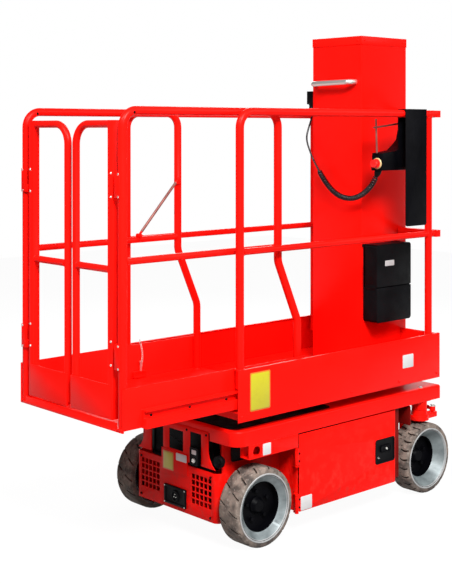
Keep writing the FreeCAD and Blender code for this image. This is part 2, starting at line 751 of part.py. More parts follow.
SLIDE_SECTION = ((14, 0, 66), (30, 0, 36), (30, 60, 66))


def roll_tray():
    """The roll-out floor with its toe boards, front sill and channel-shaped slide rails."""
    floor = box(("-half_length + 4", "roll_rear"), ("-roll_half", "roll_half"),
                ("roll_floor", "roll_floor + 4"))
    front_x = ("-half_length + 4", "-half_length + 12")
    sill = box(front_x, ("-roll_half", "roll_half"), ("roll_floor - 7", "roll_floor + 4"))
    step = box(front_x, ("-roll_rail_y + 19", "roll_rail_y - 19"), ("roll_floor", "roll_floor + 24"))
    pieces = [floor, sill, step]
    for sign in (-1, 1):
        pieces.append(box(("-half_length + 4", "roll_rear"), span(sign, "roll_half - 3", "roll_half"),
                          ("roll_floor", "toe_top")))
        for out, low, high in SLIDE_SECTION:
            pieces.append(box(("-half_length + 88", "roll_rear"),
                              span(sign, "roll_half - 3", f"roll_half + {out}"),
                              (f"roll_floor + {low}", f"roll_floor + {high}")))
    return fuse(*pieces)


HINGE_HEIGHT = 45
GATE_HINGES = (806, 1410)


def roll_rail():
    """The near side of the roll-out guard, bent from one tube, with its mid rail and gate hinge leaves."""
    y = -size_of("roll_rail_y")
    low = size_of("roll_floor") + 4
    top = size_of("rail_top") - size_of("tube_radius")
    post = size_of("roll_post_x")
    leg = size_of("roll_leg_x")
    foot = size_of("roll_foot_x")
    knee_high = 1085
    knee_low = 840
    run = ((post, low), (post, top), (leg, top), (leg, knee_high), (foot, knee_low), (foot, low))
    hoop = bent_tube([Vector(x, y, z) for x, z in run], size_of("tube_radius"), [60, 60, 70, 70])
    mid = rod("x", "mid_radius", "roll_post_x", "roll_leg_x", ("-roll_rail_y", "rail_mid"))
    pieces = [hoop, mid]
    for level in GATE_HINGES:
        bottom = level - HINGE_HEIGHT
        pin = ("roll_post_x", "-gate_pin_y")
        pieces += [
            box(("-half_length", "-half_length + 5"), ("-roll_rail_y - 6", "-gate_pin_y - 6"),
                (bottom, level + HINGE_HEIGHT)),
            box(("-half_length + 4", "roll_post_x"), ("-gate_pin_y - 9", "-gate_pin_y - 2"),
                (bottom, level - 16)),
            rod("z", 4, bottom, level + HINGE_HEIGHT, pin),
            rod("z", 7, bottom, level - 16, pin),
        ]
    return fuse(*pieces)


def rail_stay():
    """The thin stay between the mid rail and the rear leg of the far roll-out guard."""
    y = size_of("roll_rail_y") - 20
    foot = Vector(-342, y, 1168)
    head = Vector(-139, y, 1385)
    rod_between = Part.makeCylinder(5, (head - foot).Length, foot, head - foot)
    return fuse(feature(rod_between),
                rod("y", 8, "roll_rail_y - 26", "roll_rail_y", (-342, 1160)),
                box((-345, -339), ("roll_rail_y - 22", "roll_rail_y - 16"), (1141, 1170)),
                box((-143, "roll_leg_x"), ("roll_rail_y - 24", "roll_rail_y - 10"), (1370, 1400)))


def gate():
    """The near saloon gate: bent frame tube, mid rail, kick panel and hinge barrels."""
    x = size_of("roll_post_x")
    outer = -size_of("gate_outer_y")
    inner = -size_of("gate_inner_y")
    low = size_of("gate_low") + size_of("gate_radius")
    top = size_of("gate_top") - size_of("gate_radius")
    across = ("-gate_outer_y", "-gate_inner_y")
    frame = bent_tube([Vector(x, outer, top), Vector(x, inner, top), Vector(x, inner, low)],
                      size_of("gate_radius"), [75])
    stile = box(("roll_post_x - gate_radius", "roll_post_x + gate_radius"),
                ("-gate_pin_y + 10", "-gate_outer_y + gate_radius"), ("gate_low", "gate_top"))
    bottom = rod("y", "gate_radius", *across, ("roll_post_x", "gate_low + gate_radius"))
    mid = rod("y", "gate_radius - 1", *across, ("roll_post_x", "gate_mid"))
    kick = box(("roll_post_x - 16", "roll_post_x - 12"), ("-gate_outer_y - 10", "-gate_inner_y + 14"),
               ("gate_low", "toe_top + 4"))
    pieces = [frame, stile, bottom, mid, kick]
    for level in GATE_HINGES:
        high = level + HINGE_HEIGHT
        ring = cut(rod("z", 7, level - 14, high, ("roll_post_x", "-gate_pin_y")),
                   rod("z", 4.2, level - 20, high + 5, ("roll_post_x", "-gate_pin_y")))
        leaf = box(("roll_post_x - 3", "roll_post_x + 3"), ("-gate_pin_y + 5", "-gate_pin_y + 13"),
                   (level - 14, high))
        pieces += [ring, leaf]
    return fuse(*pieces)


part("roll_tray", roll_tray())
near_rail = roll_rail()
part("roll_rail_near", near_rail)
part("roll_rail_far", fuse(mirrored(near_rail), rail_stay()))
pair("gate", gate())

# ---------------------------------------------------------------- check and export

doc.recompute()
for item in doc.Objects:
    if "Invalid" in item.State or "Error" in item.State:
        raise RuntimeError(f"{item.Label} failed: {item.State}")
os.makedirs("parts", exist_ok=True)
whole = FreeCAD.BoundBox()
for item in PARTS:
    if item.Shape.isNull() or not item.Shape.isValid():
        raise RuntimeError(f"{item.Label} has no valid shape")
    item.Shape.exportStep(f"parts/{item.Label}.step")
    whole.add(item.Shape.BoundBox)
print(len(PARTS), "sub-parts; box", whole)
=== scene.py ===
"""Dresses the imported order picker: paint, tyres, fasteners, plates, control lead and studio.

X runs towards the mast, Z up, and the near side is at negative Y. The sizes of small parts, and
the points that they are set on, are in millimetres. All other lengths are in metres.
"""

import json
import logging
import math
from collections.abc import Iterator
from dataclasses import dataclass
from enum import Enum
from functools import cache

import bpy
from mathutils import Matrix, Vector


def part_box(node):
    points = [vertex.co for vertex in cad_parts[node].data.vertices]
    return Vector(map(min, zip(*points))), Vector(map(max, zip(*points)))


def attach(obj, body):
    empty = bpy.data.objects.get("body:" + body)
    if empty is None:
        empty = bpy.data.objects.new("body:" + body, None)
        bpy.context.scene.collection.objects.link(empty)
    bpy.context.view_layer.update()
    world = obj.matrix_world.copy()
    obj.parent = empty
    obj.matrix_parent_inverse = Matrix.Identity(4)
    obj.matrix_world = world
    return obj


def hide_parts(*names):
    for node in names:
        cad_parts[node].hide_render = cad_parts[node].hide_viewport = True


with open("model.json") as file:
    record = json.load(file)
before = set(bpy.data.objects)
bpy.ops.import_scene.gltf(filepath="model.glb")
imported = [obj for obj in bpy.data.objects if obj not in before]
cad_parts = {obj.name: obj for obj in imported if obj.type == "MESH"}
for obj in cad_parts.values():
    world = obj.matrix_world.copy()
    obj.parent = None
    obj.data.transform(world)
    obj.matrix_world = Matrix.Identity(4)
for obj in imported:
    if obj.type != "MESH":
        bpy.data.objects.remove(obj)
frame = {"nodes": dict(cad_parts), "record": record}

Triple = tuple[float, float, float]
Place = tuple[Triple, Triple]
Outline = list[tuple[float, float]]
Piece = bpy.types.Object
Socket = bpy.types.NodeSocket

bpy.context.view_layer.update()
LOG = logging.getLogger("order_picker")
FORE, AFT, UP, DOWN = (-1, 0, 0), (1, 0, 0), (0, 0, 1), (0, 0, -1)


def mm(*values: float) -> tuple[float, ...]:
    """Millimetres as metres."""
    return tuple(value / 1000 for value in values)


@cache
def limits(node: str) -> Place:
    """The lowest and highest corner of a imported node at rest, in whole millimetres."""
    return tuple(tuple(round(value * 1000) for value in corner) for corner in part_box(node))


def grid(direction: Triple, *rows: tuple[float, ...]) -> list[Place]:
    """The places at every crossing of the rows along X, Y and Z, all facing one way."""
    return [((x, y, z), direction) for x in rows[0] for y in rows[1] for z in rows[2]]


class Side(Enum):
    """The two sides of the machine; each value is the sign of Y on that side."""

    NEAR = -1
    FAR = 1

    @property
    def tag(self) -> str:
        """The side's ending in node and body names."""
        return self.name.lower()

    @property
    def out(self) -> Triple:
        """The direction away from the machine's middle."""
        return (0, self.value, 0)

    @property
    def inwards(self) -> Triple:
        """The direction towards the machine's middle."""
        return (0, -self.value, 0)

    def skin(self, node: str) -> float:
        """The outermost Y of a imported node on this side, in millimetres."""
        low, high = limits(node)
        return max(low[1] * self.value, high[1] * self.value) * self.value


class NodeBench:
    """A shader node tree, with the steps that the finishes and the world share."""

    def __init__(self, owner: bpy.types.Material | bpy.types.World) -> None:
        """Empties a node tree to fill it anew.

        Args:
            owner: The material or world that has the tree.
        """
        owner.use_nodes = True
        self.tree = owner.node_tree
        self.tree.nodes.clear()

    def add(self, kind: str, **settings: object) -> bpy.types.Node:
        """Adds a node.

        Args:
            kind: The node's type name.
            settings: Attributes to set on it.

        Returns:
            The new node.
        """
        node = self.tree.nodes.new(kind)
        for key, value in settings.items():
            setattr(node, key, value)
        return node

    def feed(self, socket: Socket, value: object) -> None:
        """Links a socket into another one, or sets its own value.

        Args:
            socket: The input.
            value: An output socket, a number or a colour.
        """
        if isinstance(value, Socket):
            self.tree.links.new(value, socket)
        elif isinstance(value, tuple) and len(value) == 3 and socket.type == "RGBA":
            socket.default_value = (*value, 1.0)
        else:
            socket.default_value = value

    def node(self, kind: str, inputs: dict[str | int, object], result: str | int = 0,
             **settings: object) -> Socket:
        """Adds a node and feeds its inputs.

        Args:
            kind: The node's type name.
            inputs: What goes into its inputs.
            result: The output that is asked for.
            settings: Attributes to set on it.

        Returns:
            That output.
        """
        node = self.add(kind, **settings)
        for key, value in inputs.items():
            self.feed(node.inputs[key], value)
        return node.outputs[result]

    def either(self, first: str, second: str) -> Socket:
        """Whether a ray is of one of two kinds."""
        path = self.add("ShaderNodeLightPath").outputs
        return self.node("ShaderNodeMath", {0: path[first], 1: path[second]}, operation="MAXIMUM")


class Sheet(NodeBench):
    """One material's node tree."""

    def __init__(self, name: str) -> None:
        """Starts a material with its Principled shader.

        Args:
            name: The material's name.
        """
        self.material = bpy.data.materials.new(name)
        super().__init__(self.material)
        self.output = self.add("ShaderNodeOutputMaterial")
        self.shader = self.add("ShaderNodeBsdfPrincipled")
        self.feed(self.output.inputs["Surface"], self.shader.outputs[0])
        self.place = self.add("ShaderNodeTexCoord").outputs["Object"]

    def stretched(self, scale: Triple) -> Socket:
        """Object coordinates scaled by axis."""
        return self.node("ShaderNodeMapping", {"Scale": scale, "Vector": self.place}, "Vector")

    def noise(self, scale: float, detail: float, place: Socket | None = None) -> Socket:
        """Noise with so many features per metre, on the object's coordinates or other ones."""
        inputs = {"Scale": scale, "Detail": detail, "Vector": place or self.place}
        return self.node("ShaderNodeTexNoise", inputs, "Fac")

    def grain(self, scale: float) -> Socket:
        """The distance to the middles of cells, with so many of them per metre."""
        return self.node("ShaderNodeTexVoronoi", {"Scale": scale, "Vector": self.place}, "Distance")

    def span(self, value: Socket, start: float, end: float, low: float = 0.0, high: float = 1.0) -> Socket:
        """Maps the range of a value from start to end onto the range from low to high."""
        inputs = {"From Min": start, "From Max": end, "To Min": low, "To Max": high, "Value": value}
        return self.node("ShaderNodeMapRange", inputs, "Result")

    def height(self) -> Socket:
        """The height over the floor, in metres."""
        return self.node("ShaderNodeSeparateXYZ", {0: self.place}, "Z")

    def times(self, first: Socket, second: Socket | float) -> Socket:
        """The product of two values."""
        return self.node("ShaderNodeMath", {0: first, 1: second}, operation="MULTIPLY")

    def tint(self, share: Socket, first: object, second: object) -> Socket:
        """Mixes two colours by the share of the second."""
        return self.node("ShaderNodeMix", {0: share, 6: first, 7: second}, 2, data_type="RGBA")

    def bump(self, height: Socket, depth: float, under: Socket | None = None) -> Socket:
        """Turns a height field of a depth in metres into a normal, which may lie on another one."""
        inputs = {"Distance": depth, "Height": height} | ({"Normal": under} if under else {})
        return self.node("ShaderNodeBump", inputs, "Normal")

    def close(self, **sockets: object) -> bpy.types.Material:
        """Feeds the Principled shader.

        Args:
            sockets: Its inputs by name, with underscores for spaces.

        Returns:
            The finished material.
        """
        for key, value in sockets.items():
            self.feed(self.shader.inputs[key.replace("_", " ")], value)
        return self.material


@dataclass(frozen=True)
class Coat:
    """What every finish on the machine has: a name, a slot, and the two colours it drifts between."""

    name: str
    slot: str
    light: Triple
    deep: Triple

    def drift(self, sheet: Sheet, noise: Socket, start: float, end: float) -> Socket:
        """The colour where a noise field runs from the deep to the light one."""
        return sheet.tint(sheet.span(noise, start, end), self.deep, self.light)


@dataclass(frozen=True)
class PowderCoat(Coat):
    """Powder coat: slow colour drift, orange peel and dust near the floor."""

    dust: Triple
    gloss: float = 0.34
    dust_top: float = 0.45

    def material(self) -> bpy.types.Material:
        """Builds the finish.

        Returns:
            The new material.
        """
        sheet = Sheet(self.name)
        low = sheet.span(sheet.height(), self.dust_top, 0.04, 0.0, 0.5)
        specks = sheet.span(sheet.noise(38, 5), 0.5, 0.78)
        colour = self.drift(sheet, sheet.noise(2.2, 2), 0.35, 0.68)
        colour = sheet.tint(sheet.times(low, specks), colour, self.dust)
        rough = sheet.span(sheet.noise(7, 4), 0.3, 0.75, self.gloss - 0.05, self.gloss + 0.09)
        peel = sheet.bump(sheet.noise(420, 2), 0.00012)
        return sheet.close(Base_Color=colour, Roughness=rough, Normal=peel, Specular_IOR_Level=0.07)


@dataclass(frozen=True)
class SolidRubber(Coat):
    """Grey non-marking rubber, mottled by dust, with painted shade darkening it towards the floor."""

    scuff: Triple
    # A darker colour painted near the floor as shade.
    painted_floor_shade: Triple = (0.03, 0.022, 0.02)

    def material(self) -> bpy.types.Material:
        """Builds the finish.

        Returns:
            The new material.
        """
        sheet = Sheet(self.name)
        worn = sheet.times(sheet.span(sheet.noise(90, 4), 0.56, 0.72), 0.55)
        colour = sheet.tint(worn, self.drift(sheet, sheet.noise(26, 6), 0.36, 0.66), self.scuff)
        # Painted shade: the tyre darkens over its lowest 12 cm.
        floor = sheet.span(sheet.height(), 0.12, 0.0, 0.0, 0.55)
        colour = sheet.tint(floor, colour, self.painted_floor_shade)
        coarse = sheet.bump(sheet.noise(240, 5), 0.0011)
        fine = sheet.bump(sheet.grain(900), 0.0002, coarse)
        rough = sheet.span(sheet.noise(60, 3), 0.3, 0.7, 0.74, 0.92)
        return sheet.close(Base_Color=colour, Roughness=rough, Normal=fine)


@dataclass(frozen=True)
class PlatedSteel(Coat):
    """Plated or machined steel with fine turning marks and cloudy patches."""

    metallic: float = 0.85
    gloss: float = 0.32
    grain: Triple = (1.0, 1.0, 1.0)

    def material(self) -> bpy.types.Material:
        """Builds the finish.

        Returns:
            The new material.
        """
        sheet = Sheet(self.name)
        colour = self.drift(sheet, sheet.noise(17, 5), 0.34, 0.68)
        marks = sheet.bump(sheet.noise(300, 3, sheet.stretched(self.grain)), 0.00018)
        rough = sheet.span(sheet.noise(34, 4), 0.3, 0.7, self.gloss - 0.06, self.gloss + 0.14)
        return sheet.close(Base_Color=colour, Roughness=rough, Metallic=self.metallic, Normal=marks)


@dataclass(frozen=True)
class MouldedPlastic(Coat):
    """Moulded plastic or textured black coat with a fine grain."""

    gloss: float = 0.45
    grain: float = 900.0
    depth: float = 0.00015
    shine: float = 0.10

    def material(self) -> bpy.types.Material:
        """Builds the finish.

        Returns:
            The new material.
        """
        sheet = Sheet(self.name)
        colour = self.drift(sheet, sheet.noise(12, 4), 0.35, 0.7)
        rough = sheet.span(sheet.noise(22, 4), 0.3, 0.7, self.gloss - 0.07, self.gloss + 0.1)
        grain = sheet.bump(sheet.grain(self.grain), self.depth)
        return sheet.close(Base_Color=colour, Roughness=rough, Normal=grain, Specular_IOR_Level=self.shine)


@dataclass(frozen=True)
class PrintedFace(Coat):
    """A blank laminated plate, slightly uneven and faintly soiled with its deep colour."""

    def material(self) -> bpy.types.Material:
        """Builds the finish.

        Returns:
            The new material.
        """
        sheet = Sheet(self.name)
        colour = sheet.tint(sheet.span(sheet.noise(45, 5), 0.52, 0.85, 0.0, 0.35), self.light, self.deep)
        rough = sheet.span(sheet.noise(60, 2), 0.3, 0.7, 0.28, 0.42)
        waves = sheet.bump(sheet.noise(160, 2), 0.00006)
        return sheet.close(Base_Color=colour, Roughness=rough, Normal=waves)


@dataclass(frozen=True)
class StudioFloor:
    """The pale floor: white to the camera, with the object's soft shadow kept."""

    name: str
    shade: float = 0.25
    share: float = 0.84
    glow: float = 1.14

    def material(self) -> bpy.types.Material:
        """Builds the finish.

        Returns:
            The new material.
        """
        sheet = Sheet(self.name)
        speck = sheet.tint(sheet.noise(30, 3), (self.shade,) * 3, (self.shade + 0.02,) * 3)
        sheet.close(Base_Color=speck, Roughness=0.9, Specular_IOR_Level=0.1)
        glow = sheet.node("ShaderNodeEmission", {"Strength": self.glow})
        share = sheet.times(sheet.either("Is Camera Ray", "Is Glossy Ray"), self.share)
        mixed = sheet.node("ShaderNodeMixShader", {0: share, 1: sheet.shader.outputs[0], 2: glow})
        sheet.feed(sheet.output.inputs["Surface"], mixed)
        return sheet.material


class Finish(Enum):
    """Every finish on the machine."""

    RED = PowderCoat("red_powder_coat", "red_paint", (0.92, 0.006, 0.003), (0.78, 0.004, 0.002),
                     (0.24, 0.05, 0.035))
    # A dark red that stands in for shade: painted shade on the rear arches' flanges and gussets.
    SHADE = PowderCoat("painted_shade_red", "red_paint", (0.16, 0.004, 0.003), (0.09, 0.003, 0.002),
                       (0.10, 0.04, 0.03))
    TYRE = SolidRubber("grey_tyre_rubber", "tyre", (0.222, 0.171, 0.140), (0.056, 0.043, 0.036),
                       (0.34, 0.29, 0.25))
    RIM = PlatedSteel("silver_wheel_coat", "rim_paint", (0.24, 0.275, 0.28), (0.10, 0.12, 0.125), 0.25, 0.42)
    HUB = MouldedPlastic("black_hub_coat", "black_steel", (0.002, 0.002, 0.003), (0.001, 0.001, 0.0015),
                         0.38, shine=0.03)
    PLASTIC = MouldedPlastic("black_grained_plastic", "black_plastic", (0.004, 0.004, 0.005),
                             (0.0015, 0.0015, 0.002), shine=0.07)
    BLACK = MouldedPlastic("black_satin_coat", "black_steel", (0.002, 0.002, 0.003), (0.001, 0.001, 0.0015),
                           0.38, shine=0.04)
    BATTERY = MouldedPlastic("battery_case_coat", "battery_case", (0.05, 0.05, 0.055),
                             (0.025, 0.025, 0.028), 0.5)
    STEEL = PlatedSteel("bright_steel", "bright_steel", (0.55, 0.53, 0.50), (0.34, 0.32, 0.30), 0.95, 0.24,
                        (0.2, 1.0, 0.2))
    BUTTON = MouldedPlastic("red_button_plastic", "red_plastic", (0.80, 0.012, 0.010),
                            (0.62, 0.008, 0.008), 0.22, shine=0.4)
    CORD = MouldedPlastic("black_cord_rubber", "cord_rubber", (0.004, 0.004, 0.005), (0.001, 0.001, 0.002),
                          0.24, shine=0.35)
    # The lip's pale coat is a painted highlight on the rim's outer edge.
    LIP = PlatedSteel("pale_wheel_lip", "rim_paint", (0.40, 0.40, 0.40), (0.27, 0.28, 0.28), 0.1, 0.46)
    WORN = PlatedSteel("worn_red_steel", "bright_steel", (0.26, 0.09, 0.07), (0.13, 0.03, 0.025), 0.4, 0.42)
    CREAM = PrintedFace("cream_collar", "black_plastic", (0.50, 0.36, 0.16), (0.36, 0.24, 0.10))
    WHITE = PrintedFace("white_plate", "black_plastic", (0.56, 0.55, 0.55), (0.40, 0.37, 0.36))
    YELLOW = PrintedFace("yellow_plate", "black_plastic", (0.46, 0.41, 0.008), (0.36, 0.29, 0.010))
    OCHRE = PrintedFace("amber_border", "black_plastic", (0.50, 0.16, 0.01), (0.34, 0.10, 0.01))

    def material(self) -> bpy.types.Material:
        """The finish's material, built the first time that it is asked for."""
        return bpy.data.materials.get(self.value.name) or self.value.material()


class Bench:
    """The modelling steps that every sub-assembly shares, each done with Blender's own operators."""

    BEVEL_FROM = math.radians(32)
    SMOOTH_TO = math.radians(38)
    TURNED_TO = math.radians(32)
    FLAT = math.radians(0.5)
    EDGE_ROWS = 2
    CORNER_ROWS = 5
    RING_STEPS = 28
    NODE_MERGE = 1e-5
    TURNED_MERGE = 1e-6

    @staticmethod
    def take(*pieces: Piece) -> None:
        """Selects only some pieces and makes the first one active.

        Args:
            pieces: The pieces to select.
        """
        bpy.ops.object.select_all(action="DESELECT")
        for piece in pieces:
            piece.select_set(True)
        bpy.context.view_layer.objects.active = pieces[0]

    @staticmethod
    def named(name: str) -> Piece:
        """Names the new active piece and applies its place, turn and scale to its mesh.

        Args:
            name: The piece's name.

        Returns:
            The piece.
        """
        piece = bpy.context.active_object
        piece.name = name
        piece.data.name = name
        bpy.ops.object.transform_apply(location=True, rotation=True, scale=True)
        return piece

    @staticmethod
    def opened() -> None:
        """Opens the active piece's mesh with all of it selected."""
        bpy.ops.object.mode_set(mode="EDIT")
        bpy.ops.mesh.select_all(action="SELECT")

    @staticmethod
    def closed() -> None:
        """Turns all faces of the open mesh outwards and closes it."""
        bpy.ops.mesh.select_all(action="SELECT")
        bpy.ops.mesh.normals_make_consistent(inside=False)
        bpy.ops.object.mode_set(mode="OBJECT")

    @classmethod
    def modified(cls, piece: Piece, kind: str, **settings: object) -> Piece:
        """Adds a modifier and applies it.

        Args:
            piece: The piece to shape.
            kind: The modifier's type.
            settings: Its attributes.

        Returns:
            The same piece.
        """
        cls.take(piece)
        step = piece.modifiers.new(kind.lower(), kind)
        for key, value in settings.items():
            setattr(step, key, value)
        bpy.ops.object.modifier_apply(modifier=step.name)
        return piece

    @classmethod
    def softened(cls, piece: Piece, width: float, clamp: bool = True) -> Piece:
        """Rounds a piece's sharp edges and shades it smooth.

        Args:
            piece: The piece.
            width: The rounding's width, in metres.
            clamp: Whether short edges hold the width back.

        Returns:
            The same piece.
        """
        cls.modified(piece, "BEVEL", width=width, segments=cls.EDGE_ROWS, limit_method="ANGLE",
                     angle_limit=cls.BEVEL_FROM, use_clamp_overlap=clamp)
        cls.take(piece)
        bpy.ops.object.shade_smooth_by_angle(angle=cls.SMOOTH_TO)
        return piece

    @classmethod
    def plate(cls, name: str, size: Triple, corner: float, edge: float, wall: float, sink: float) -> Piece:
        """A flat plate with rounded corners, lying at the origin, with an inset field if it has a wall.

        Args:
            name: The piece's name.
            size: Its width, height and thickness.
            corner: The radius of its corners.
            edge: The width of its rounded edges.
            wall: The width of the raised border.
            sink: How deep the field lies inside the border.

        Returns:
            The new piece.
        """
        bpy.ops.object.select_all(action="DESELECT")
        bpy.ops.mesh.primitive_plane_add(size=1)
        bpy.context.active_object.scale = (size[0], size[1], 1)
        piece = cls.named(name)
        cls.opened()
        bpy.ops.mesh.bevel(offset=corner, segments=cls.CORNER_ROWS, affect="VERTICES")
        bpy.ops.mesh.select_all(action="SELECT")
        bpy.ops.mesh.extrude_region_move(TRANSFORM_OT_translate={"value": (0, 0, size[2])})
        if wall:
            bpy.ops.mesh.inset(thickness=wall, depth=0)
            bpy.ops.mesh.extrude_region_move(TRANSFORM_OT_translate={"value": (0, 0, -sink)})
        cls.closed()
        return cls.softened(piece, edge)

    @classmethod
    def spun(cls, name: str, outline: Outline, steps: int) -> Piece:
        """A round piece turned about the upright axis through the origin.

        Args:
            name: The piece's name.
            outline: Its closed outline, as radii and heights.
            steps: How many sides the round has.

        Returns:
            The new piece.
        """
        bpy.ops.object.select_all(action="DESELECT")
        bpy.ops.mesh.primitive_circle_add(vertices=len(outline), radius=1, fill_type="NOTHING")
        piece = cls.named(name)
        for vertex, (radius, height) in zip(piece.data.vertices, outline):
            vertex.co = (radius, 0.0, height)
        cls.opened()
        bpy.ops.mesh.spin(steps=steps, angle=2 * math.pi, center=(0, 0, 0), axis=(0, 0, 1))
        bpy.ops.mesh.select_all(action="SELECT")
        bpy.ops.mesh.remove_doubles(threshold=cls.TURNED_MERGE)
        bpy.ops.mesh.delete_loose()
        cls.closed()
        cls.take(piece)
        bpy.ops.object.shade_smooth_by_angle(angle=cls.TURNED_TO)
        return piece

    @classmethod
    def ring(cls, name: str, radius: float, thickness: float, rounds: int) -> Piece:
        """A round ring lying at the origin, shaded smooth.

        Args:
            name: The piece's name.
            radius: The radius of the ring's middle line.
            thickness: The radius of its round section.
            rounds: How many sides the section has.

        Returns:
            The new piece.
        """
        bpy.ops.object.select_all(action="DESELECT")
        bpy.ops.mesh.primitive_torus_add(major_radius=radius, minor_radius=thickness,
                                         major_segments=cls.RING_STEPS, minor_segments=rounds)
        piece = cls.named(name)
        bpy.ops.object.shade_smooth()
        return piece

    @staticmethod
    def curve(name: str, points: list[Triple], radius: float, fineness: int) -> Piece:
        """A smooth curve with these control points.

        Args:
            name: The curve's name.
            points: Its control points.
            radius: The radius of its round section.
            fineness: The steps between two points.

        Returns:
            The curve.
        """
        data = bpy.data.curves.new(name, "CURVE")
        data.dimensions = "3D"
        data.resolution_u = fineness
        data.render_resolution_u = fineness
        data.bevel_depth = radius
        data.bevel_resolution = 2
        data.use_fill_caps = True
        line = data.splines.new("NURBS")
        line.points.add(len(points) - 1)
        for slot, point in zip(line.points, points):
            slot.co = (*point, 1.0)
        line.order_u = 3
        line.use_endpoint_u = True
        piece = bpy.data.objects.new(name, data)
        bpy.context.collection.objects.link(piece)
        return piece

    @staticmethod
    def placed(piece: Piece, place: Matrix) -> Piece:
        """Moves a piece in its own mesh."""
        piece.data.transform(place)
        return piece

    @classmethod
    def copied(cls, piece: Piece, name: str, place: Matrix) -> Piece:
        """A copy of a piece with its own mesh, moved in that mesh.

        Args:
            piece: The piece to copy.
            name: The copy's name.
            place: Where the copy goes from the first one's place.

        Returns:
            The copy.
        """
        copy = bpy.data.objects.new(name, piece.data.copy())
        bpy.context.collection.objects.link(copy)
        copy.data.name = name
        copy.data.transform(place)
        if place.determinant() < 0:
            copy.data.flip_normals()
        return copy

    @classmethod
    def joined(cls, name: str, pieces: list[Piece]) -> Piece:
        """Joins pieces into one.

        Args:
            name: The joined piece's name.
            pieces: The pieces.

        Returns:
            The joined piece.
        """
        cls.take(*pieces)
        if len(pieces) > 1:
            bpy.ops.object.join()
        pieces[0].name = name
        pieces[0].data.name = name
        return pieces[0]

    @classmethod
    def repeated(cls, name: str, piece: Piece, places: list[Matrix]) -> Piece:
        """Copies a piece to several places and joins the copies; the first one goes.

        Args:
            name: The joined piece's name.
            piece: The piece to repeat.
            places: Where each copy goes.

        Returns:
            The joined piece.
        """
        copies = [cls.copied(piece, f"{name}_{index}", place) for index, place in enumerate(places)]
        bpy.data.objects.remove(piece)
        return cls.joined(name, copies)

    @classmethod
    def from_node(cls, node: str, name: str) -> Piece:
        """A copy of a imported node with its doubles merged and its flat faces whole.

        Args:
            node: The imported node.
            name: The copy's name.

        Returns:
            The copy.
        """
        copy = cls.copied(frame["nodes"][node], name, Matrix.Identity(4))
        copy.data.materials.clear()
        cls.take(copy)
        cls.opened()
        bpy.ops.mesh.remove_doubles(threshold=cls.NODE_MERGE)
        bpy.ops.mesh.customdata_custom_splitnormals_clear()
        bpy.ops.mesh.dissolve_limited(angle_limit=cls.FLAT)
        bpy.ops.object.mode_set(mode="OBJECT")
        return copy

    @staticmethod
    def coated(piece: Piece, finish: Finish, body: str) -> Piece:
        """Gives a piece its finish and the body that it rides on.

        Args:
            piece: The piece.
            finish: Its finish.
            body: The body that carries it.

        Returns:
            The same piece.
        """
        piece.data.materials.clear()
        piece.data.materials.append(finish.material())
        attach(piece, body)
        LOG.info("%s rides on %s, %d faces", piece.name, body, len(piece.data.polygons))
        return piece

    @staticmethod
    def facing(point: Triple, direction: Triple, turn: float = 0.0) -> Matrix:
        """The place of a piece that was modelled on the floor, turned to face outwards.

        Args:
            point: Where it goes, in millimetres.
            direction: Where its top points.
            turn: Its turn about that direction, in radians.

        Returns:
            The place.
        """
        lean = Vector(direction).to_track_quat("Z", "Y").to_matrix().to_4x4()
        return Matrix.Translation(mm(*point)) @ lean @ Matrix.Rotation(turn, 4, "Z")

    @classmethod
    def fitted(cls, piece: Piece, finish: Finish, body: str, point: Triple, direction: Triple) -> Piece:
        """Sets a piece that was modelled on the floor on a face of a body, and coats it."""
        return cls.coated(cls.placed(piece, cls.facing(point, direction)), finish, body)


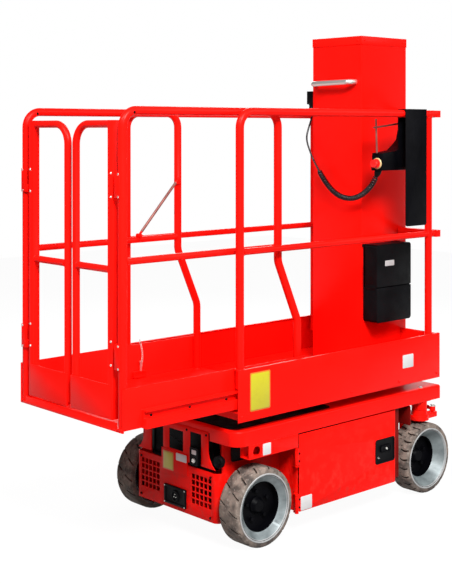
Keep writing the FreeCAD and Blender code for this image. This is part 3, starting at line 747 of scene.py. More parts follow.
@dataclass(frozen=True)
class ControlLead:
    """The lead from the mast socket to the control box: a plain tail, then a curly part.

    The tail and the curly part are one wire on one route.
    """

    wire_radius: float = 0.0040
    coil_radius: float = 0.0088
    pitch: float = 0.0108
    per_turn: int = 12
    length: float = 2.54
    tail: tuple[Triple, ...] = (
        (0.586, 0.172, 1.704), (0.586, 0.174, 1.660), (0.572, 0.186, 1.606), (0.548, 0.176, 1.560),
        (0.541, 0.146, 1.506), (0.538, 0.116, 1.458), (0.535, 0.084, 1.420))
    curly: tuple[Triple, ...] = (
        (0.530, 0.056, 1.388), (0.526, 0.014, 1.347), (0.520, -0.036, 1.316), (0.515, -0.088, 1.301),
        (0.511, -0.140, 1.299), (0.509, -0.190, 1.314), (0.508, -0.234, 1.342), (0.508, -0.267, 1.376),
        (0.509, -0.285, 1.412))

    def route(self) -> list[Vector]:
        """Follows the route's own spline.

        Returns:
            The points along it.
        """
        guide = Bench.curve("lead_route", self.tail + self.curly, 0.0, 24)
        mesh = bpy.data.meshes.new_from_object(guide)
        points = [vertex.co.copy() for vertex in mesh.vertices]
        bpy.data.objects.remove(guide)
        bpy.data.meshes.remove(mesh)
        return points

    def helix(self, path: list[Vector]) -> list[Vector]:
        """The curly part's control points.

        Args:
            path: The points of the route that it winds about.

        Returns:
            The control points, which start and end on the route.
        """
        steps = [0.0]
        for first, second in zip(path, path[1:]):
            steps.append(steps[-1] + (second - first).length)
        turns = round(steps[-1] / self.pitch)
        count = turns * self.per_turn
        points, index = [], 0
        aside = Vector(UP).cross(path[1] - path[0]).normalized()
        for number in range(count + 1):
            reach = steps[-1] * number / count
            while index < len(steps) - 2 and steps[index + 1] < reach:
                index += 1
            share = (reach - steps[index]) / (steps[index + 1] - steps[index])
            middle = path[index].lerp(path[index + 1], share)
            along = (path[index + 1] - path[index]).normalized()
            aside = (aside - along * aside.dot(along)).normalized()
            grow = min(1.0, number / self.per_turn, (count - number) / (2 * self.per_turn))
            angle = 2 * math.pi * number / self.per_turn
            out = aside * math.cos(angle) + along.cross(aside) * math.sin(angle)
            points.append(middle + out * self.coil_radius * grow)
        return points

    def build(self) -> None:
        path = self.route()
        start = min(range(len(path)), key=lambda index: (path[index] - Vector(self.tail[-1])).length)
        points = [*self.tail[:-1], *self.helix(path[start:])]
        lead = Bench.curve("control_lead", points, self.wire_radius, 4)
        lead.data.materials.append(Finish.CORD.material())
        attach(lead, "platform")
        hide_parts("cord_tail", "cord_coil")
        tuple(self.tail[0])
        LOG.info("control_lead has %d control points", len(points))


class Head(Enum):
    """The heads of fasteners: sides, then the outline in shares of the radius and the height."""

    HEX = (6, ((0, 0.2), (1, 0.2), (1, 0.86), (0.86, 1), (0, 1)))
    BUTTON = (18, ((0, 0), (1, 0), (1, 0.45), (0.72, 1), (0.45, 1), (0.42, 0.55), (0, 0.55)))
    RIVET = (12, ((0, 0), (1, 0), (0.92, 0.55), (0.6, 0.9), (0, 1)))
    WASHER = (20, ((0, 0), (1.5, 0), (1.5, 0.14), (1.4, 0.2), (0, 0.2)))

    def model(self, radius: float, height: float) -> Piece:
        """Models one head at the origin, on its washer if it is a hexagon.

        Args:
            radius: Its radius.
            height: Its height.

        Returns:
            The head.
        """
        sides, outline = self.value
        head = Bench.spun("head", [(radius * reach, height * rise) for reach, rise in outline], sides)
        if self is Head.HEX:
            return Bench.joined("head", [head, Head.WASHER.model(radius, height)])
        return head


@dataclass(frozen=True)
class Part:
    """A small part, with the body that carries it and its finish; its sizes are in millimetres."""

    name: str
    body: str
    finish: Finish


@dataclass(frozen=True)
class Fasteners(Part):
    """Like screws, nuts or pins on one body, built as one piece."""

    head: Head
    radius: float
    height: float
    places: list[Place]
    turn: float = 0.3

    def build(self) -> None:
        """Builds them."""
        spots = [Bench.facing(point, direction, self.turn) for point, direction in self.places]
        head = self.head.model(*mm(self.radius, self.height))
        Bench.coated(Bench.repeated(self.name, head, spots), self.finish, self.body)


@dataclass(frozen=True)
class Welds(Part):
    """Fillet welds round the ends of tubes, each with its place and its tube's radius, built as one piece."""

    places: list[tuple[Triple, Triple, float]]
    fillet: float = 2.8
    rounds: int = 6
    overlap: float = 0.2

    def build(self) -> None:
        """Builds them."""
        rings = []
        for index, (point, direction, radius) in enumerate(self.places):
            sizes = mm(radius + self.fillet * self.overlap, self.fillet)
            ring = Bench.ring(f"{self.name}_{index}", *sizes, self.rounds)
            rings.append(Bench.placed(ring, Bench.facing(point, direction)))
        Bench.coated(Bench.joined(self.name, rings), self.finish, self.body)


@dataclass(frozen=True)
class Turned(Part):
    """A round part that is spun from an outline of radii and heights and set on a face."""

    point: Triple
    direction: Triple
    outline: Outline
    steps: int = 24

    def build(self) -> None:
        """Builds the part."""
        piece = Bench.spun(self.name, [mm(*corner) for corner in self.outline], self.steps)
        Bench.fitted(piece, self.finish, self.body, self.point, self.direction)


@dataclass(frozen=True)
class Panel(Part):
    """A flat plate with rounded corners on a face, its field sunk if it has a wall."""

    point: Triple
    direction: Triple
    size: Triple
    corner: float
    edge: float = 0.3
    wall: float = 0.0
    sink: float = 0.0

    def build(self) -> None:
        """Builds the plate."""
        piece = Bench.plate(self.name, mm(*self.size), *mm(self.corner, self.edge, self.wall, self.sink))
        Bench.fitted(piece, self.finish, self.body, self.point, self.direction)


@dataclass(frozen=True)
class Sign(Part):
    """A blank plate on a flat face, with a border of its own colour if it has one."""

    middle: Triple
    direction: Triple
    size: tuple[float, float]
    border: Finish | None = None
    corner: float = 4.0
    margin: float = 5.0
    border_depth: float = 0.6
    face_depth: float = 1.0

    def build(self) -> None:
        """Builds the plate and its border."""
        width, height = self.size
        if self.border:
            Panel(f"{self.name}_border", self.body, self.border, self.middle, self.direction,
                  (width, height, self.border_depth), self.corner).build()
            width, height = width - 2 * self.margin, height - 2 * self.margin
        Panel(self.name, self.body, self.finish, self.middle, self.direction,
              (width, height, self.face_depth), self.corner, 0.2).build()


@dataclass(frozen=True)
class Rod(Part):
    """A bent round rod along a smooth line through its ends."""

    points: list[Triple]
    radius: float = 4.0
    fineness: int = 8
    crease: float = math.radians(40)

    def build(self) -> None:
        """Builds the rod."""
        line = Bench.curve(self.name, [mm(*point) for point in self.points], *mm(self.radius), self.fineness)
        Bench.take(line)
        bpy.ops.object.convert(target="MESH")
        piece = Bench.named(self.name)
        bpy.ops.object.shade_smooth_by_angle(angle=self.crease)
        Bench.coated(piece, self.finish, self.body)


@dataclass(frozen=True)
class Sleeve(Part):
    """A straight round sleeve between two points with rounded ends."""

    start: Triple
    end: Triple
    radius: float = 5.8
    edge: float = 0.8
    sides: int = 20

    def build(self) -> None:
        """Builds the sleeve."""
        first, last = Vector(mm(*self.start)), Vector(mm(*self.end))
        run = last - first
        radius, edge = mm(self.radius, self.edge)
        bpy.ops.object.select_all(action="DESELECT")
        bpy.ops.mesh.primitive_cylinder_add(
            vertices=self.sides, radius=radius, depth=run.length, location=(first + last) / 2,
            rotation=run.to_track_quat("Z", "Y").to_euler())
        Bench.coated(Bench.softened(Bench.named(self.name), edge), self.finish, self.body)


@dataclass(frozen=True)
class Chain(Part):
    """A chain of alternating links that hangs between two points with a slight sag, built as one piece."""

    foot: Triple
    top: Triple
    links: int = 13
    sag: float = 9.0
    link: tuple[float, float] = (4.5, 1.2)
    stretch: Triple = (1.35, 0.85, 1)

    def build(self) -> None:
        """Builds it."""
        ring = Bench.placed(Bench.ring("link", *mm(*self.link), 6), Matrix.Diagonal((*self.stretch, 1)))
        foot, run = Vector(self.foot), Vector(self.top) - Vector(self.foot)
        places = []
        for index in range(self.links):
            share = index / (self.links - 1)
            point = foot + run * share + Vector((self.sag * math.sin(math.pi * share), 0, 0))
            places.append(Matrix.Translation(point / 1000) @ Matrix.Rotation(math.pi / 2, 4, "Y")
                          @ Matrix.Rotation(math.pi / 2 * (index % 2), 4, "X"))
        Bench.coated(Bench.repeated(self.name, ring, places), self.finish, self.body)


class Fittings:
    """Small parts that are built together."""

    def parts(self) -> Iterator[Part]:
        """Gives the parts one by one.

        Returns:
            The parts, in the order in which they are built.
        """
        raise NotImplementedError

    def build(self) -> None:
        """Builds every part."""
        for part in self.parts():
            part.build()


@dataclass(frozen=True)
class Wheel:
    """One wheel: a solid tyre with two staggered rows of sipes on a dished steel rim.

    The lip's, cap's and bolts' sizes are in millimetres, and the others in metres.
    """

    axle: str
    side: Side
    sipes: int
    slant: float
    sag: float
    hub_radius: float
    bolt_depth: float
    bolt_reach: float
    bolts: int = 5
    bolt_turn: float = 0.4
    long_sipe: tuple[float, ...] = (0.0080, 0.009, 0.040, 0.012)
    short_sipe: tuple[float, ...] = (0.0032, 0.002, 0.013, 0.004)
    cutter_steps: int = 6
    taper: float = 0.55
    taper_end: float = 0.05
    tyre_steps: int = 144
    crease: float = math.radians(30)
    hub_margin: float = 0.0015
    flange: float = 0.0088
    bolt: tuple[float, float] = (8.5, 11)
    lip: tuple[float, float] = (-4.8, 1.4)
    lip_rise: float = 1.6
    lip_root: float = -1
    lip_round: float = 1
    lip_steps: int = 96
    cap_steps: int = 32
    cap: tuple[tuple[float, float], ...] = ((0, 0), (33, 0), (33, 5), (29, 8), (25, 17), (21, 20), (0, 21))
    shoulder: tuple[tuple[float, float], ...] = (
        (0.0115, 0.0), (0.0085, 0.0012), (0.003, 0.0042), (0.0008, 0.0085), (0.0, 0.014))

    @property
    def name(self) -> str:
        """The wheel's own name."""
        return f"{self.axle}_{self.side.tag}"

    @property
    def body(self) -> str:
        """The body that turns with the wheel."""
        return f"{self.axle}_wheel_{self.side.tag}"

    def box(self, part: str) -> tuple[Vector, Vector]:
        """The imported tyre's or rim's middle, and half its size along each axis."""
        low, high = (Vector(corner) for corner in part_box(f"{self.axle}_{part}_{self.side.tag}"))
        return (low + high) / 2, (high - low) / 2

    def tyre_blank(self) -> Piece:
        """Spins the plain tyre from its section, at the origin and with its axle along Y.

        Returns:
            The tyre without its sipes.
        """
        half, seat = self.box("tyre")[1], self.box("rim")[1].z
        rise = [(half.z - drop, half.y - inset) for drop, inset in self.shoulder]
        section = [(seat, half.y), *rise, (half.z, 0.0)]
        outline = section + [(radius, -y) for radius, y in reversed(section[:-1])]
        tyre = Bench.spun(f"tyre_{self.name}", outline, self.tyre_steps)
        return Bench.placed(tyre, Matrix.Rotation(math.pi / 2, 4, "X"))

    def sipe_cutter(self, width: float, start: float, reach: float, depth: float) -> Piece:
        """The cutter of one sipe at the top of the tyre, slanted and curved, in the row of positive Y.

        Args:
            width: The sipe's width, which narrows at its inner end.
            start: Where it starts off the tyre's middle.
            reach: How far it runs towards the shoulder.
            depth: Its depth.

        Returns:
            The cutter.
        """
        top = self.box("tyre")[1].z
        bpy.ops.object.select_all(action="DESELECT")
        bpy.ops.mesh.primitive_cube_add(size=1, location=(0, start + reach / 2, top))
        bpy.context.active_object.scale = (width, reach, 2 * depth)
        cutter = Bench.named("sipe_cutter")
        bpy.ops.object.mode_set(mode="EDIT")
        for step in range(1, self.cutter_steps):
            level = start + reach * step / self.cutter_steps
            bpy.ops.mesh.select_all(action="SELECT")
            bpy.ops.mesh.bisect(plane_co=(0, level, top), plane_no=(0, 1, 0))
        bpy.ops.object.mode_set(mode="OBJECT")
        for vertex in cutter.data.vertices:
            share = (vertex.co.y - start) / reach
            if share < self.taper_end:
                vertex.co.x *= self.taper
            vertex.co.x += self.slant * (share - 0.5) + self.sag * math.sin(math.pi * share)
        return cutter

    def cut_row(self, tyre: Piece, cutter: Piece, shift: float) -> None:
        """Cuts one sipe's shape all round in both staggered rows.

        Args:
            tyre: The tyre.
            cutter: The cutter at the top of the tyre.
            shift: How far round the row starts, as a share of the pitch.
        """
        step = 2 * math.pi / self.sipes
        mirror = Matrix.Rotation(step / 2, 4, "Y") @ Matrix.Rotation(math.pi, 4, "Z")
        places = [Matrix.Rotation((index + shift) * step, 4, "Y") @ row for index in range(self.sipes)
                  for row in (Matrix.Identity(4), mirror)]
        cutters = Bench.repeated("sipe_cutters", cutter, places)
        Bench.modified(tyre, "BOOLEAN", operation="DIFFERENCE", object=cutters, solver="EXACT")
        bpy.data.objects.remove(cutters)

    def tyre(self) -> None:
        """Builds the tyre and cuts its sipes, long ones to the shoulders and short ones between them."""
        tyre = self.tyre_blank()
        self.cut_row(tyre, self.sipe_cutter(*self.long_sipe), 0.0)
        self.cut_row(tyre, self.sipe_cutter(*self.short_sipe), 0.5)
        Bench.take(tyre)
        bpy.ops.object.shade_smooth_by_angle(angle=self.crease)
        Bench.placed(tyre, Matrix.Translation(self.box("tyre")[0]))
        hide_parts(f"{self.axle}_tyre_{self.side.tag}")
        Bench.coated(tyre, Finish.TYRE, self.body)

    def rim(self) -> None:
        """Builds the rim, its hub cup black and its flange in the lip's pale coat, which is a painted
        highlight.
        """
        node = f"{self.axle}_rim_{self.side.tag}"
        rim = Bench.softened(Bench.from_node(node, f"rim_{self.name}"), 0.0012)
        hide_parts(node)
        Bench.coated(rim, Finish.RIM, self.body)
        rim.data.materials.append(Finish.HUB.material())
        rim.data.materials.append(Finish.LIP.material())
        middle, flange_start = self.box("tyre")[0], self.box("rim")[1].z - self.flange
        # Faces inside the hub radius go black; faces beyond the flange's start take the lip's coat, a painted
        # highlight.
        for face in rim.data.polygons:
            reach = Vector((face.center.x - middle.x, face.center.z - middle.z)).length
            if reach < self.hub_radius + self.hub_margin:
                face.material_index = 1
            elif reach > flange_start:
                face.material_index = 2

    def trim(self) -> None:
        """Adds the flat ring against the tyre's side, pale as a painted highlight, the wheel bolts and the
        hub cap.
        """
        out, seat = self.side.value, 1000 * self.box("rim")[1].z
        middle, half = (1000 * corner for corner in self.box("tyre"))
        inner, outer = seat + self.lip[0], seat + self.lip[1]
        rise, root, rounded = self.lip_rise, self.lip_root, self.lip_round
        lip = [(inner, root), (inner, rise / 2), (inner + rounded, rise), (outer - rounded, rise),
               (outer, rise / 2), (outer, root)]
        face = (middle.x, middle.y + out * half.y, middle.z)
        # The ring's pale coat is a painted highlight.
        Turned(f"rim_lip_{self.name}", self.body, Finish.LIP, face, self.side.out, lip,
               self.lip_steps).build()
        floor = Vector((middle.x, face[1] - out * self.bolt_depth, middle.z))
        angles = [2 * math.pi * index / self.bolts + self.bolt_turn for index in range(self.bolts)]
        spots = [floor + self.bolt_reach * Vector((math.cos(angle), 0, math.sin(angle))) for angle in angles]
        Fasteners(f"wheel_bolts_{self.name}", self.body, Finish.BLACK, Head.HEX, *self.bolt,
                  [(spot, self.side.out) for spot in spots]).build()
        Turned(f"hub_cap_{self.name}", self.body, Finish.BLACK, floor, self.side.out, self.cap,
               self.cap_steps).build()

    def build(self) -> None:
        """Builds the whole wheel."""
        self.tyre()
        self.rim()
        self.trim()


@dataclass(frozen=True)
class Shells:
    """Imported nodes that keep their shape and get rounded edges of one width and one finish."""

    finish: Finish
    edge: float
    nodes: tuple[str, ...]
    clamp: bool = True

    def build(self) -> None:
        """Builds the dressed copies, each on the body that carries its node."""
        bodies = frame["record"]["behaviour"]["bodies"]
        for node in self.nodes:
            copy = Bench.from_node(node, f"{node}_dressed")
            Bench.softened(copy, self.edge, self.clamp)
            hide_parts(node)
            Bench.coated(copy, self.finish, next(body for body, nodes in bodies.items() if node in nodes))


@dataclass(frozen=True)
class NoseFittings(Fittings):
    """The key switch, charger socket, sounder, plates and screws on the nose."""

    body: str = "chassis"
    switch: tuple[float, float] = (-122.5, 326.5)
    socket: Triple = (-394, -4, 143)
    sounder: Triple = (-358, -243, 326)

    def switch_parts(self) -> Iterator[Part]:
        """Gives the key switch in the cowl's near window.

        Returns:
            Its bracket, case, barrel and label.
        """
        back = limits("cowl_panel")[1][0]
        y, z = self.switch
        yield Panel("switch_bracket", self.body, Finish.BLACK, (back + 2, y, z), FORE, (92, 66, 2), 6)
        yield Panel("key_switch", self.body, Finish.PLASTIC, (back, y, z), FORE, (47, 69, 13), 5, 1.2, 5, 2)
        yield Turned("key_switch_barrel", self.body, Finish.STEEL, (back - 11, y, z - 16), FORE,
                     [(0, 0), (9, 0), (9, 4), (7, 5), (6, 3), (0, 3)])
        yield Sign("key_switch_label", self.body, Finish.WHITE, (back - 11.1, y, z + 16), FORE, (26, 18),
                   corner=2)

    def charger_parts(self) -> Iterator[Part]:
        """Gives the charger socket in its well.

        Returns:
            Its collar and three pins, and the screws in the well's corners.
        """
        x, y, z = self.socket
        yield Turned("charger_collar", self.body, Finish.PLASTIC, self.socket, FORE,
                     [(14, 0), (24, 0), (24, 2), (21, 4.4), (17, 4.4), (16, 1.4), (14, 1.4)], 36)
        angles = (math.pi / 2, math.pi * 7 / 6, math.pi * 11 / 6)
        pins = [((x, y + 7 * math.cos(angle), z + 7 * math.sin(angle)), FORE) for angle in angles]
        yield Fasteners("charger_pins", self.body, Finish.STEEL, Head.RIVET, 2.2, 4, pins)
        low, high = limits("charger_inlet")
        corners = grid(FORE, (low[0],), (low[1] + 5, high[1] - 5), (low[2] + 5, high[2] - 5))
        yield Fasteners("charger_screws", self.body, Finish.STEEL, Head.BUTTON, 2.8, 1.6, corners)

    def parts(self) -> Iterator[Part]:
        """Gives the parts one by one.

        Returns:
            The parts, in the order in which they are built.
        """
        yield from self.switch_parts()
        yield from self.charger_parts()
        yield Turned("sounder", self.body, Finish.PLASTIC, self.sounder, (-1, -0.12, 0),
                     [(0, 0), (16, 0), (16, 8), (24, 11), (24, 24), (21, 27), (18, 24), (8, 19), (0, 21)], 36)
        nose, cowl = limits("nose_panel")[0][0], limits("cowl_panel")[0][0]
        yield Sign("nose_plate_amber", self.body, Finish.YELLOW, (nose, 40.5, 277), FORE, (66, 74),
                   Finish.OCHRE)
        yield Sign("nose_plate_white", self.body, Finish.WHITE, (nose, -40.5, 303), FORE, (64, 30))
        screws = grid(FORE, (nose,), (-214, 214), (106, 262))
        screws += grid(FORE, (cowl,), (-186, -70, 64, 186), (420,))
        yield Fasteners("nose_screws", self.body, Finish.BLACK, Head.BUTTON, 4.8, 3.2, screws)


@dataclass(frozen=True)
class DoorFittings(Fittings):
    """The latch well's insert, handle and lock on a side door, and its hinge screws."""

    side: Side
    well: tuple[float, float] = (478.5, 236)
    insert: Triple = (127, 104, 14)
    insert_floor: float = 344
    sink: float = 4

    def parts(self) -> Iterator[Part]:
        """Gives the parts one by one.

        Returns:
            The parts, in the order in which they are built.
        """
        sign, tag, out = self.side.value, self.side.tag, self.side.out
        body, (x, z) = f"door_{tag}", self.well
        floor = sign * self.insert_floor
        yield Panel(f"latch_insert_{tag}", body, Finish.PLASTIC, (x, floor, z), out, self.insert, 12, 1.2, 6,
                    self.sink)
        y = floor + sign * (self.insert[2] - self.sink)
        yield Panel(f"latch_paddle_{tag}", body, Finish.BLACK, (x + 4, y, z + 8), out, (66, 30, 5), 8, 1.2, 4,
                    1.5)
        for name, place, radius in (("lock", (x + 6.5, y, z + 8), 5.5),
                                    ("catch", (x - 45.5, y, z - 25), 3.5)):
            rim, cup = 0.85 * radius, 0.7 * radius
            yield Turned(f"latch_{name}_{tag}", body, Finish.STEEL, place, out,
                         [(0, 0), (radius, 0), (radius, 4.5), (rim, 6.75), (cup, 5.4), (0, 5.4)], 28)
        skin = self.side.skin("chassis_tray")
        yield Fasteners(f"door_hinge_screws_{tag}", body, Finish.BLACK, Head.BUTTON, 4.2, 2.8,
                        grid(out, (-47,), (skin,), (106, 138, 290, 320)))


@dataclass(frozen=True)
class GuardFittings(Fittings):
    """Welds and screws of both guards and both decks on one side."""

    side: Side
    post: float = 16
    bar: float = 13
    lap: float = 0.5
    mast_post: float = 783
    stay_post: float = -119
    mid_level: float = 1141
    gate_post: float = 20
    hinge_y: float = 306
    hinge_levels: tuple[float, ...] = (766, 846, 1370, 1450)
    drain: tuple[float, float] = (-847, 1668)
    slides: tuple[float, ...] = (-800, -620, -440)
    slide_level: float = 597
    edge_screws: tuple[float, ...] = (-370, -60, 250, 560, 820)
    edge_level: float = 520

    def welds(self) -> Iterator[Part]:
        """Gives the welds where the posts meet the decks and the rails meet the posts.

        Returns:
            The platform's welds, then those of the roll-out deck.
        """
        sign, tag, post, bar, mid = self.side.value, self.side.tag, self.post, self.bar, self.mid_level
        gap = post - self.lap
        low, high = limits(f"platform_rail_{tag}")
        y, toe = self.side.skin(f"platform_rail_{tag}") - sign * post, limits(f"platform_side_{tag}")[1][2]
        end, mast = low[0] + post, self.mast_post
        yield Welds(f"platform_welds_{tag}", "platform", Finish.RED, [
            ((end, y, toe), UP, post), ((mast, y, toe), UP, post), ((end + gap, y, mid), AFT, bar),
            ((mast - gap, y, mid), FORE, bar), ((mast + gap, y, mid), AFT, bar),
            ((mast, y, high[2] - 2 * post + self.lap), UP, post)])
        low, high = limits(f"roll_rail_{tag}")
        y, end = self.side.skin(f"roll_rail_{tag}") - sign * post, low[0] + self.gate_post
        yield Welds(f"roll_welds_{tag}", "roll_deck", Finish.RED, [
            ((end, y, low[2]), UP, post), ((high[0] - post, y, low[2]), UP, post),
            ((end + gap, y, mid), AFT, bar), ((self.stay_post - gap, y, mid), FORE, bar)])

    def parts(self) -> Iterator[Part]:
        """Gives the parts one by one.

        Returns:
            The parts, in the order in which they are built.
        """
        yield from self.welds()
        tag, out = self.side.tag, self.side.out
        low, high = limits(f"roll_rail_{tag}")
        hinges = grid(FORE, (low[0],), (self.side.value * self.hinge_y,), self.hinge_levels)
        yield Fasteners(f"hinge_plate_screws_{tag}", "roll_deck", Finish.STEEL, Head.RIVET, 4.5, 0.9, hinges)
        near_face = low[1] if self.side is Side.NEAR else high[1] - 2 * self.post
        # The drain hole is a black dome, painted shade in place of the hole.
        yield Fasteners(f"drain_hole_{tag}", "roll_deck", Finish.BLACK, Head.RIVET, 5.2, 1.2,
                        [((self.drain[0], near_face, self.drain[1]), Side.NEAR.out)])
        slides = grid(out, self.slides, (self.side.skin("roll_tray"),), (self.slide_level,))
        yield Fasteners(f"slide_screws_{tag}", "roll_deck", Finish.BLACK, Head.BUTTON, 5, 3.4, slides)
        edges = grid(out, self.edge_screws, (self.side.skin(f"platform_side_{tag}"),), (self.edge_level,))
        yield Fasteners(f"platform_edge_screws_{tag}", "platform", Finish.RED, Head.BUTTON, 5.2, 3, edges)


@dataclass(frozen=True)
class GateFittings(Fittings):
    """The welds, hinge screws and rubber stop of one saloon gate."""

    side: Side
    tube_inset: float = 16
    bars: tuple[tuple[float, float], ...] = ((1108, 13), (594, 14))
    outer_end: float = 238
    inner_end: float = 40
    screw_y: float = 258
    screw_levels: tuple[float, ...] = (772, 856, 1368, 1452)
    plate: float = 2
    stop: tuple[float, float] = (60, 594)

    def parts(self) -> Iterator[Part]:
        """Gives the parts one by one.

        Returns:
            The parts, in the order in which they are built.
        """
        sign, body = self.side.value, f"gate_{self.side.tag}"
        low, high = limits(body)
        ends = ((self.outer_end, self.side.inwards), (self.inner_end, self.side.out))
        yield Welds(f"gate_welds_{self.side.tag}", body, Finish.RED, [
            ((low[0] + self.tube_inset, sign * y, level), direction, radius)
            for level, radius in self.bars for y, direction in ends], 2.2)
        yield Fasteners(f"gate_screws_{self.side.tag}", body, Finish.STEEL, Head.BUTTON, 4.5, 3.2,
                        grid(FORE, (low[0] + self.plate,), (sign * self.screw_y,), self.screw_levels))
        stop = (high[0], sign * self.stop[0], self.stop[1])
        yield Turned(f"gate_stop_{self.side.tag}", body, Finish.PLASTIC, stop, AFT,
                     [(0, 0), (9, 0), (9, 3), (7, 7), (3, 8.5), (0, 8.5)])


@dataclass(frozen=True)
class DeckFittings(Fittings):
    """The near side's plates, a stay, and the pin on its chain that holds the rolled-out deck."""

    pin: Triple = (-318, 313, 580)

    def parts(self) -> Iterator[Part]:
        """Gives the parts one by one.

        Returns:
            The parts, in the order in which they are built.
        """
        near, platform = Side.NEAR.out, Side.NEAR.skin("platform_side_near")
        tray, lid = Side.NEAR.skin("chassis_tray"), Side.NEAR.skin("document_lid")
        yield Sign("deck_plate_yellow", "platform", Finish.YELLOW, (-274.5, platform, 606.5), near,
                   (107, 147), Finish.OCHRE, 6)
        yield Sign("deck_plate_white", "platform", Finish.WHITE, (618, platform, 600.5), near, (72, 57))
        yield Sign("lid_label", "document_lid", Finish.WHITE, (662, lid, 1011), near, (62, 24), corner=2)
        yield Sign("channel_plate", "chassis", Finish.WHITE, (-227.5, tray, 372), near, (43, 45))
        yield Sign("door_plate", "door_near", Finish.WHITE, (-7, tray, 118), near, (64, 55))
        yield Sleeve("stay_sleeve", "roll_deck", Finish.WORN, (-335, 287, 1175.5), (-147, 287, 1376.5))
        yield Panel("deck_pin_block", "roll_deck", Finish.RED, (-325, 323, 570.5), near, (68, 27, 15), 6,
                    1.4, 6, 3)
        yield Turned("deck_pin", "roll_deck", Finish.STEEL, self.pin, UP,
                     [(0, 0), (3, 2), (4.5, 6), (4.5, 40), (7, 41), (7, 45), (0, 46)], 20)
        yield Chain("deck_pin_chain", "roll_deck", Finish.STEEL, (-311, 318, 602), (-319, 318, 709))


@dataclass(frozen=True)
class MastFittings(Fittings):
    """The cap screws, the rear service cover, the grab bar's welds and the document box's seal."""

    body: str = "platform"
    cap_drop: float = 19
    corner_inset: float = 22
    cover_level: float = 930

    def parts(self) -> Iterator[Part]:
        """Gives the parts one by one.

        Returns:
            The parts, in the order in which they are built.
        """
        low, high = limits("mast_box")
        level = (high[2] - self.cap_drop,)
        columns = (low[0] + self.corner_inset, (low[0] + high[0]) / 2, high[0] - self.corner_inset)
        rows = (low[1] + self.corner_inset, high[1] - self.corner_inset)
        screws = grid(FORE, (low[0],), rows, level) + grid(AFT, (high[0],), rows, level)
        for side in Side:
            screws += grid(side.out, columns, (side.skin("mast_box"),), level)
        yield Fasteners("mast_cap_screws", self.body, Finish.RED, Head.BUTTON, 4.5, 3, screws)
        back = high[0] - 2
        yield Panel("mast_rear_cover", self.body, Finish.RED, (back, 0, self.cover_level), AFT,
                    (210, 360, 3), 12, 1, 16, 1.2)
        levels = tuple(self.cover_level + offset for offset in (-170, 0, 170))
        yield Fasteners("mast_cover_screws", self.body, Finish.STEEL, Head.HEX, 5.5, 5.5,
                        grid(AFT, (back + 3,), (-96, 96), levels))
        foot = limits("grab_bar")[1][0]
        yield Welds("grab_bar_welds", self.body, Finish.RED,
                    [((foot, -114, 1817), FORE, 12), ((foot, 118, 1813), FORE, 12)], 3)
        yield Panel("document_box_seal", self.body, Finish.PLASTIC, (694, -160, 905), Side.NEAR.out,
                    (240, 20, 60), 3)


@dataclass(frozen=True)
class ControlStation(Fittings):
    """The control box's guard rods, switches and stop collar, and the lead's strain reliefs."""

    body: str = "platform"
    switch_level: float = 1468
    ribs: int = 5
    rib_pitch: float = 7
    rib_drop: float = 1.3
    socket: tuple[float, float] = (586, 172)

    def relief(self) -> Outline:
        """Draws the ribbed relief, which narrows towards the lead.

        Returns:
            Its closed outline.
        """
        outline = [(0, 0), (14, 0), (14, 4)]
        for index in range(self.ribs):
            radius, height = 11.5 - self.rib_drop * index, 6 + self.rib_pitch * index
            groove = radius - 2
            outline += [(radius, height), (radius, height + 3.5), (groove, height + 4.5),
                        (groove, height + 6)]
        return outline + [(4.6, 42), (0, 42)]

    def reliefs(self) -> Iterator[Part]:
        """Gives what holds both ends of the lead.

        Returns:
            The socket's relief, collar and screws, and the gland's relief.
        """
        yield Turned("socket_relief", self.body, Finish.PLASTIC, (*self.socket, 1706), (0, 0.04, -1),
                     self.relief())
        yield Turned("socket_collar", self.body, Finish.PLASTIC, (*self.socket, 1724), DOWN,
                     [(0, 0), (17, 0), (17, 5), (15, 7), (15, 17), (16.5, 18), (16.5, 21), (0, 21)], 28)
        yield Turned("gland_relief", self.body, Finish.PLASTIC, (509.5, -291, 1427), (-0.03, 0.35, -0.94),
                     [(0, 0), (15, 0), (15, 6), (13.5, 8), (13.5, 16), (10, 24), (6, 32), (4.4, 34), (0, 34)])
        yield Fasteners("socket_screws", self.body, Finish.STEEL, Head.BUTTON, 3, 2.4,
                        grid(Side.FAR.out, (574, 602), (Side.FAR.skin("cord_socket"),), (1730, 1774)))

    def switches(self) -> Iterator[Part]:
        """Gives the face turned to the driver.

        Returns:
            The face, its three push buttons and its key.
        """
        inwards, face = Side.NEAR.inwards, limits("control_box")[1][1]
        yield Panel("control_face", self.body, Finish.STEEL, (600, face, self.switch_level), inwards,
                    (150, 60, 1.5), 8, 0.4, 3, 0.6)
        button = [(0, 0), (9.5, 0), (9.5, 5), (8, 6), (8, 9), (6.5, 10), (0, 10)]
        key = [(0, 0), (10, 0), (10, 5), (8, 7), (5, 7), (5, 4), (0, 4)]
        for name, x, finish, outline in (("raise_button", 545, Finish.WHITE, button),
                                         ("lower_button", 580, Finish.PLASTIC, button),
                                         ("horn_button", 615, Finish.YELLOW, button),
                                         ("control_key", 652, Finish.STEEL, key)):
            yield Turned(name, self.body, finish, (x, face + 1, self.switch_level), inwards, outline)

    def parts(self) -> Iterator[Part]:
        """Gives the parts one by one.

        Returns:
            The parts, in the order in which they are built.
        """
        yield Rod("guard_rod_upright", self.body, Finish.WORN,
                  [(484, -300, 1651), (487, -300, 1580), (490, -300, 1504)])
        yield Rod("guard_rod_level", self.body, Finish.WORN,
                  [(469, -300, 1613), (560, -300, 1622), (662, -300, 1634)])
        low, high = limits("stop_button")
        stop = (high[0] - 1, (low[1] + high[1]) / 2, (low[2] + high[2]) / 2)
        yield Turned("stop_collar", self.body, Finish.CREAM, stop, FORE,
                     [(16, 0), (24, 0), (24, 3), (22, 6), (16, 6)], 32)
        yield from self.reliefs()
        yield from self.switches()


